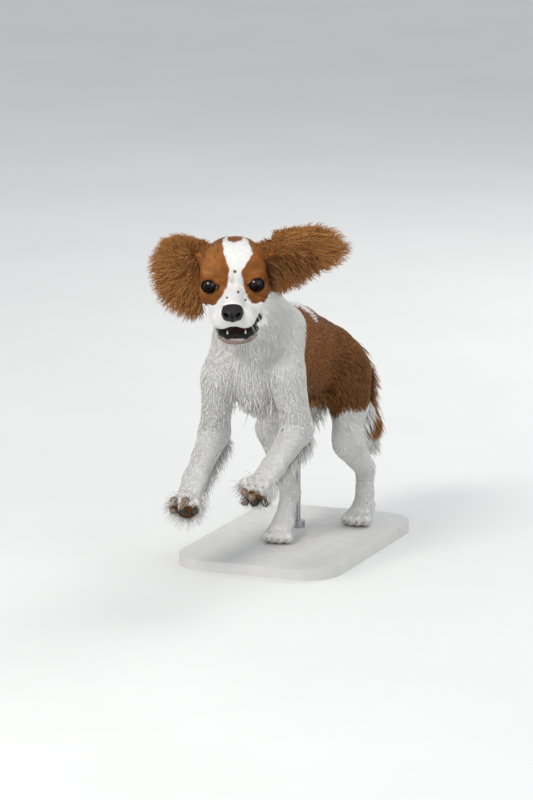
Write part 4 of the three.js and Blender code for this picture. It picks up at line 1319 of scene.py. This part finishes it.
class Coat:
    """Collects the tufts of one coat piece and makes its mesh."""

    def __init__(self, name, parts):
        self.name = name
        self.parts = parts
        self.sets = []

    def tufts(
        self, root, normal, way, length, width, rise, segments,
        wave=0.0, cycles=1.0, phase=None, droop=0.0, curl=0.0, settle=0.0, flat=0.5,
        weight=None, chance=None, marks=None,
    ):
        """Adds tufts. Length, width and rise, the height of the tip over the skin, are in mm.

        Settle is how far each tip is moved out, in mm, so that a tuft follows a curved skin.
        """
        n = len(root)
        if not n:
            return
        if weight is None:
            weight = nearness(part_distances(root))
        sizes = (length, width, rise, wave, droop, curl, settle)
        length, width, rise, wave, droop, curl, settle = (
            np.broadcast_to(np.asarray(v, float), n) for v in sizes
        )
        phase = rng.uniform(0, 2 * np.pi, n) if phase is None else phase
        chance = rng.uniform(0, 1, n) if chance is None else chance
        side = unit(np.cross(way, normal))
        over = unit(np.cross(side, way))
        rise = np.minimum(rise, length * 0.9)
        run = np.sqrt(length**2 - rise**2)
        rings = []
        for i in range(segments + 1):
            s = i / segments
            lift = rise * (1 - (1 - s) ** 1.7) - 0.8 * (s == 0)
            lift = lift + settle * s * s
            turn = cycles * 2 * np.pi * s + phase
            sway = wave * np.sin(turn) * min(1.0, 2.2 * s) + curl * s * s
            bob = 0.6 * wave * np.cos(turn) * min(1.0, 2 * s)
            centre = root + way * (run * s)[:, None] + normal * lift[:, None]
            centre = centre + side * sway[:, None] + over * bob[:, None]
            centre[:, 2] -= droop * s * s
            if i == segments:
                rings.append(centre[:, None])
                break
            radius = 0.5 * width * min(1.0, 0.62 + 1.5 * s) * (1 - s**1.8) ** 0.75
            ring = []
            for k in range(3):
                a = math.pi / 2 + 2 * math.pi * k / 3
                out = side * (radius * 1.15 * math.cos(a))[:, None]
                ring.append(centre + out + over * (radius * flat * math.sin(a))[:, None])
            rings.append(np.stack(ring, 1))
        verts = np.concatenate(rings, 1)
        per = verts.shape[1]
        faces = []
        for i in range(segments - 1):
            for k in range(3):
                a, b = i * 3 + k, i * 3 + (k + 1) % 3
                faces += [(a, b, b + 3), (a, b + 3, a + 3)]
        last = (segments - 1) * 3
        faces += [(last + k, last + (k + 1) % 3, last + 3) for k in range(3)]
        faces.append((2, 1, 0))
        faces = np.array(faces)
        marks = marks_of(root, weight) if marks is None else marks
        strand = np.zeros((n, per, 4))
        strand[..., 0] = np.append(np.repeat(np.arange(segments) / segments, 3), 1.0)
        strand[..., 1] = chance[:, None]
        strand[..., 2] = rng.uniform(0, 1, n)[:, None] ** 3
        uv = unwrap(root, weight, self.parts)
        place = np.zeros((n, per, 2))
        place[..., 0] = np.append(np.tile([0.0, 0.5, 1.0], segments), 0.5)
        place[..., 1] = strand[..., 0]
        uv = uv[:, None] + (place - 0.5) * PATCH
        self.sets.append((verts, faces, np.repeat(marks[:, None], per, 1), strand, uv))

    def make(self):
        verts, tris, marks, strand, uv, start = [], [], [], [], [], 0
        for v, f, m, s, t in self.sets:
            n, per = v.shape[:2]
            verts.append(v.reshape(-1, 3))
            tris.append((f[None] + (np.arange(n) * per)[:, None, None] + start).reshape(-1, 3))
            marks.append(m.reshape(-1, 4))
            strand.append(s.reshape(-1, 4))
            uv.append(t.reshape(-1, 2))
            start += n * per
        verts, tris = np.concatenate(verts), np.concatenate(tris)
        verts[:, 2] = np.maximum(verts[:, 2], FLOOR_TOP + 0.2 * rng.uniform(1, 3, len(verts)))
        verts = np.clip(verts, BOX_LOW, BOX_HIGH)
        obj = add_piece(self.name, verts, tris, FUR)
        point_colour(obj, "marks", np.concatenate(marks))
        point_colour(obj, "strand", np.concatenate(strand))
        layer = obj.data.uv_layers.new(name="OFBake")
        layer.data.foreach_set("uv", np.concatenate(uv)[tris.ravel()].astype(np.float32).ravel())
        print(self.name, len(tris), "triangles")
        return len(tris)


FINE = 1.0


def amount(n):
    return int(n * FINE)


HX, HY, HZ = in_head(SKIN)
CLEAR = 1 - np.clip(BARE.sum(1), 0, 1)


def share(*names):
    return WEIGHT[:, [index(n) for n in names]].sum(1)


def away_from_eyes(p):
    """How far outside the nearer eye's opening points lie; behind an eye is far from it."""
    return np.minimum(*[opening(p, s) + 50 * ((p - EYE_AT[s]) @ GAZE[s] < -2) for s in (1, -1)])


EYE_GAP = away_from_eyes(SKIN)
NOSE_GAP = in_chunks(lambda q: nose_field(q)[:, None], SKIN)[:, 0]
MOUTH_GAP = in_chunks(lambda q: MOUTH.distance(q)[:, None], SKIN)[:, 0]


def value(v, root):
    return v(root) if callable(v) else v


# How far, in mm, a tuft's tip may be moved in or out so that the tuft follows a curved skin
SETTLE_RANGE = (-4, 6)


def base_coat(coat, count, weight, length, width, rise, segments=2, droop=0.0, **shape):
    """Tufts that lie with the coat; length, width and rise may be functions of the roots."""
    root, normal = scatter(amount(count), weight * CLEAR)
    near = nearness(part_distances(root))
    way = unit(along_surface(lie_of(root, near), normal) + rng.normal(0, 0.08, root.shape))
    way = along_surface(way, normal)
    size = value(length, root) * rng.uniform(0.75, 1.2, len(root))
    slim = value(width, root) * rng.uniform(0.8, 1.2, len(root))
    lift = value(rise, root) * rng.uniform(0.6, 1.25, len(root))
    tip = root + way * np.sqrt(size**2 - lift**2)[:, None] + normal * lift[:, None]
    over = in_chunks(lambda q: skin_field(q)[:, None], tip)[:, 0]
    shape["settle"] = np.clip(lift - over, *SETTLE_RANGE)
    shape["droop"] = droop * size
    coat.tufts(root, normal, way, size, slim, lift, segments, weight=near, **shape)


def build_head():
    coat = Coat("coat_head", ["head", "jaw"])
    face = share("head", "jaw") * (EYE_GAP > 1.2) * (NOSE_GAP > 0.6)
    bare_lip = np.where(HY < 12, 4.0, 1.5)
    face = face * np.maximum(smooth(MOUTH_GAP, bare_lip, bare_lip + 3.5), HZ < -62)
    muzzle = smooth(HY, -6, 6)

    def length(p):
        _, y, z = in_head(p)
        long = 2.6 + 2.6 * smooth(-y, -4, 30) + 2.8 * smooth(-y, 36, 70)
        long = long + 5 * smooth(-z, 52, 62) * smooth(30 - y, 0, 20)
        long = long * np.clip(MOUTH.distance(p) / 7, 0.35, 1)
        return long * np.clip(away_from_eyes(p) / 9, 0.35, 1)

    def width(p):
        return 0.38 + 0.06 * length(p)

    def rise(p):
        return 0.15 * length(p)

    dense = face * (1 + 1.4 * muzzle + 0.8 * smooth(9 - EYE_GAP, 0, 6))
    base_coat(coat, 14500, dense * (HY > -34), length, width, rise)
    # Whiskers on both lips
    count = 22
    lips = face * smooth(np.abs(HX), 14, 20) * smooth(-HZ, 26, 34) * (HY > 8)
    root, normal = scatter(count, lips)
    way = unit(normal + AHEAD * 0.3 - UP * 0.5 + rng.normal(0, 0.10, root.shape))
    long = rng.uniform(16, 30, count)
    coat.tufts(root, normal, way, long, 0.34, 1, 4, droop=0.16 * long, flat=0.9)
    made = coat.make()
    coat = Coat("coat_crown", ["head", "jaw"])
    base_coat(coat, 7500, face * (HY <= -34), length, width, rise)
    # Longer hair behind the cheeks and under the ears
    behind = face * smooth(-HY, 30, 44) * smooth(np.abs(HX), 22, 34) * smooth(20 - HZ, -10, 10)
    base_coat(coat, 1100, behind, 9, 1.1, 1.6, segments=4, wave=0.6, cycles=0.8)
    # Hair hangs behind the left cheek, where the ear is flung up from it, painted dark as shade
    # under the ear
    hung = share("head", "ear_left") * smooth(HX, 33, 39) * smooth(-HY, 20, 30)
    hung = hung * smooth(HZ, -18, -6) * smooth(26 - HZ, -4, 4)

    def hanging(normal):
        return ACROSS * 0.5 - UP * 0.85 - AHEAD * 0.15 + normal * 0.2

    count = 520
    shape = {"wave": 1.0, "cycles": 0.9}
    shape["marks"] = np.tile([1.0, 0.85, 0.0, 0.0], (amount(count), 1))
    fringe(coat, count, hung, hanging, 0.13, (12, 25), (1.0, 1.7), 3, **shape)
    return made + coat.make()


def on_curve(points, u):
    """Places at shares u of a smooth curve through the points."""
    points = np.array([points[0], *points, points[-1]], float)
    at = np.clip(u, 0, 0.9999) * (len(points) - 3)
    i = at.astype(int)
    t = (at - i)[:, None]
    a, b, c, d = (points[i + k] for k in range(4))
    bend = 2 * a - 5 * b + 4 * c - d
    return 0.5 * (2 * b + (c - a) * t + bend * t**2 + (3 * b - a - 3 * c + d) * t**3)


def build_ear(name):
    base, ahead, outline = EARS[name]
    base = vec(*base)
    coat = Coat("coat_" + name, [name])
    own = share(name) * (share(name) > 0.55)
    base_coat(coat, 1700, own, 9, 1.4, 2.0, segments=3, wave=0.5, cycles=0.8)
    count = amount(2450)
    edge = on_curve(outline, rng.uniform(0, 1, count))
    y = ahead - 0.2 * (np.abs(edge[:, 0]) - abs(base[0]) - 40)
    rim = np.stack([edge[:, 0], y, edge[:, 1]], 1)
    end = 0.45 + 0.58 * rng.uniform(0, 1, count) ** 0.55
    start = np.clip(rng.uniform(0.05, 0.50, count), 0, end - 0.34)
    face = np.where(rng.uniform(0, 1, count) < 0.5, 1.0, -1.0)
    root = base + (rim - base) * start[:, None]
    root[:, 1] += face * 6.0 * (1 - start * 0.6) * rng.uniform(0.3, 1, count)
    tip = base + (rim - base) * end[:, None]
    tip[:, 1] += face * rng.uniform(0, 8, count) * (1.12 - end) + rng.normal(0, 2.0, count)
    head = np.stack([ACROSS, AHEAD, UP])
    root, tip = HEAD_AT + root @ head, HEAD_AT + tip @ head
    way = tip - root
    length = np.linalg.norm(way, axis=1)
    way = unit(way)
    normal = unit(AHEAD * face[:, None] - way * (way @ AHEAD * face)[:, None])
    # Neighbouring locks wave together, and each bunch is lighter or darker as one, as painted light
    # and shade
    phase = 3.4 * ripple(root + way * 20, 22) + rng.normal(0, 0.4, count)
    bunch = np.clip(0.55 + 0.8 * ripple(root + way * 24, 6) + rng.normal(0, 0.12, count), 0, 1)
    width = rng.uniform(1.5, 2.7, count)
    rise = rng.uniform(0, 2.5, count)
    shape = {"wave": rng.uniform(1.6, 3.4, count), "cycles": 2.6, "phase": phase}
    shape["droop"] = length * rng.uniform(0, 0.08, count)
    shape["curl"] = rng.normal(0, 2.5, count)
    shape["weight"] = np.tile(np.eye(len(NAMES))[index(name)], (count, 1))
    coat.tufts(root, normal, way, length, width, rise, 10, chance=bunch, **shape)
    return coat.make()


def build_trunk():
    torso = share("torso")
    y, z = SKIN[:, 1], SKIN[:, 2]
    front = smooth(-y, 78, 112)
    coat = Coat("coat_chest", ["torso", "neck"])
    chest = (torso * front + share("neck")) * (MOUTH_GAP > 6)
    base_coat(coat, 11800, chest, 13, 1.1, 1.5)
    # The bib: longer wavy locks down the throat and the front of the chest
    ahead = smooth(-NORMALS[:, 1] - 0.35 * NORMALS[:, 2], 0.15, 0.7)
    bib = chest * ahead * smooth(-y, 92, 112)
    base_coat(coat, 1300, bib, 20, 1.2, 2.4, segments=4, wave=0.6, cycles=0.7)
    total = coat.make()
    coat = Coat("coat_flanks", ["torso"])
    base_coat(coat, 12500, torso * (1 - front), 12, 1.2, 1.5)
    # The fringe under the brisket and belly
    low = torso * smooth(-NORMALS[:, 2], 0.45, 0.8) * (y < 60)
    base_coat(coat, 1100, low, 18, 1.5, 7, segments=4, droop=0.2, wave=1.2, cycles=0.8)
    return total + coat.make()


def fringe(coat, count, weight, way, spread, lengths, widths, rise, **shape):
    """Long hair that leaves the skin along a way of its own, given each root's normal."""
    root, normal = scatter(amount(count), weight)
    long = rng.uniform(*lengths, len(root))
    slim = rng.uniform(*widths, len(root))
    way = unit(way(normal) + rng.normal(0, spread, root.shape))
    fall = shape.pop("droop", 0.0) * long
    coat.tufts(root, normal, way, long, slim, rise, 4, droop=fall, **shape)


def build_foreleg(side):
    leg_down, toes_up, _, toes_way = paw_axes(side)
    names = [part + side for part in ("upper_foreleg_", "forearm_", "forepaw_")]
    coat = Coat("coat_foreleg_" + side, names)
    upper, fore, paw = (share(name) for name in names)
    base_coat(coat, 4300, upper, 12, 1.1, 1.5)
    base_coat(coat, 3900, fore, 9, 0.85, 1.3)
    base_coat(coat, 3400, paw, 5.0, 0.75, 1.1)
    below = smooth((SKIN - JOINT["elbow_" + side]) @ leg_down, -25, 0)
    under = smooth(-(NORMALS @ toes_up), 0.35, 0.8)

    def trailing(normal):
        return leg_down * 0.62 + normal * 0.42 + vec(0, 0, -0.28)

    def splayed(normal):
        return leg_down * 0.75 + normal * 0.55

    feather = (fore + upper * below) * under
    shape = {"droop": 0.12, "wave": 0.9, "cycles": 0.8}
    fringe(coat, 800, feather, trailing, 0.1, (12, 24), (1.1, 1.7), 3, **shape)
    # White wisps all round the paw
    rim = paw * smooth((SKIN - JOINT["wrist_" + side]) @ leg_down, 18, 34)
    rim = rim * (0.15 + smooth(-(NORMALS @ toes_up), -0.5, 0.3))
    rim = rim * smooth(0.75 - NORMALS @ leg_down, 0, 0.25)
    count = 480
    shape = {"droop": 0.14, "wave": 0.8, "cycles": 0.7}
    shape["curl"] = rng.normal(0, 2, amount(count))
    shape["marks"] = np.zeros((amount(count), 4))
    fringe(coat, count, rim, splayed, 0.16, (8, 19), (0.8, 1.3), 2, **shape)
    return coat.make()


def build_hindleg(side):
    names = [part + side for part in ("thigh_", "shank_", "hind_foot_")]
    coat = Coat("coat_hindleg_" + side, names)
    thigh, shank, foot = (share(name) for name in names)
    base_coat(coat, 5200, thigh, 12, 1.15, 1.6)
    base_coat(coat, 2900, shank, 8.5, 1.0, 1.5)
    base_coat(coat, 3000, foot, 5.5, 0.8, 1.2)

    def trailing(normal):
        return vec(0, 0.25, -1) + normal * 0.25

    back = thigh * smooth(NORMALS[:, 1] - 0.2 * NORMALS[:, 2], 0.35, 0.8)
    count = 850
    shape = {"wave": 1.3, "cycles": 0.9, "curl": rng.normal(0, 2, amount(count))}
    fringe(coat, count, back, trailing, 0.1, (18, 36), (1.4, 2.2), 4, **shape)
    hock = (shank + foot) * smooth(NORMALS[:, 1], 0.4, 0.85) * (SKIN[:, 2] > 40)
    base_coat(coat, 350, hock, 13, 1.1, 3.2, segments=4, droop=0.1)
    return coat.make()


def build_tail():
    coat = Coat("coat_tail", ["tail"])
    line = [JOINT[n] for n in ("tail_root", "tail_mid", "tail_low", "tail_tip")]
    root, normal = scatter(amount(2500), share("tail"))
    height = np.clip((line[0][2] - root[:, 2]) / (line[0][2] - line[-1][2]), 0, 1)
    upper = (root[:, 2] > line[1][2])[:, None]
    along = np.where(upper, unit(line[1] - line[0]), unit(line[3] - line[1]))
    way = unit(along + normal * 0.2 + vec(0, -0.08, 0) + rng.normal(0, 0.09, root.shape))
    long = 18 + 22 * np.sin(np.pi * np.clip(height + 0.12, 0, 1))
    long = long * rng.uniform(0.75, 1.15, len(root))
    slim = rng.uniform(1.5, 2.4, len(root))
    shape = {"wave": 1.6, "droop": 0.05 * long, "curl": rng.normal(0, 2.5, len(root))}
    coat.tufts(root, normal, way, long, slim, 3, 4, **shape)
    return coat.make()


TRIS = build_head() + build_ear("ear_right") + build_ear("ear_left") + build_trunk()
TRIS += sum(build_foreleg(side) + build_hindleg(side) for side in ("left", "right"))
TRIS += build_tail()
print("coat", TRIS, "triangles")

# The display stand keeps its CAD shapes
PAINT = plain_material("stand_paint", (0.60, 0.59, 0.57), (0.66, 0.65, 0.63), 0.55, 60.0, 0.12)
STEEL = plain_material(
    "stand_steel", (0.42, 0.42, 0.43), (0.55, 0.55, 0.56), 0.32, 900.0, 0.1, 0.0002, 1.0
)
for name, made in (("stand_base", PAINT), ("stand_collar", STEEL), ("stand_rod", STEEL)):
    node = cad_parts[name]
    node.data.materials.clear()
    node.data.materials.append(made)

# The studio: a pale floor, and soft light from the upper left, the right and behind
FLOOR_REACH = 9.0
floor_mesh = bpy.data.meshes.new("floor")
corners = [(x * FLOOR_REACH, y * FLOOR_REACH, 0) for x, y in ((-1, -1), (1, -1), (1, 1), (-1, 1))]
floor_mesh.from_pydata(corners, [], [(0, 1, 2, 3)])
FLOOR_LOOK = plain_material("floor_paper", (0.74, 0.74, 0.72), (0.77, 0.77, 0.75), 0.9, 3.0, 0.02)
floor = bpy.data.objects.new("floor", floor_mesh)
floor_mesh.materials.append(FLOOR_LOOK)
bpy.context.collection.objects.link(floor)


def soft_light(name, place, size, power, colour=(1, 1, 1)):
    data = bpy.data.lights.new(name, "AREA")
    data.shape = "RECTANGLE"
    data.size, data.size_y = size
    data.energy = power
    data.color = colour
    light = bpy.data.objects.new(name, data)
    light.location = place
    aim = Vector((-0.02, 0.0, 0.22)) - Vector(place)
    light.rotation_mode = "QUATERNION"
    light.rotation_quaternion = aim.to_track_quat("-Z", "Y")
    bpy.context.collection.objects.link(light)


soft_light("key", (-0.7, -2.1, 2.1), (0.95, 0.75), 42, (1.0, 0.985, 0.96))
soft_light("fill", (2.3, -1.2, 1.3), (1.6, 1.4), 12, (0.95, 0.98, 1.0))
soft_light("back", (0.6, 2.2, 1.9), (1.6, 1.0), 30)
world = bpy.data.worlds.new("studio")
world.use_nodes = True
world.node_tree.nodes["Background"].inputs[0].default_value = (0.83, 0.86, 0.90, 1)
world.node_tree.nodes["Background"].inputs[1].default_value = 0.75
bpy.context.scene.world = world
bpy.context.scene.view_settings.view_transform = "Standard"
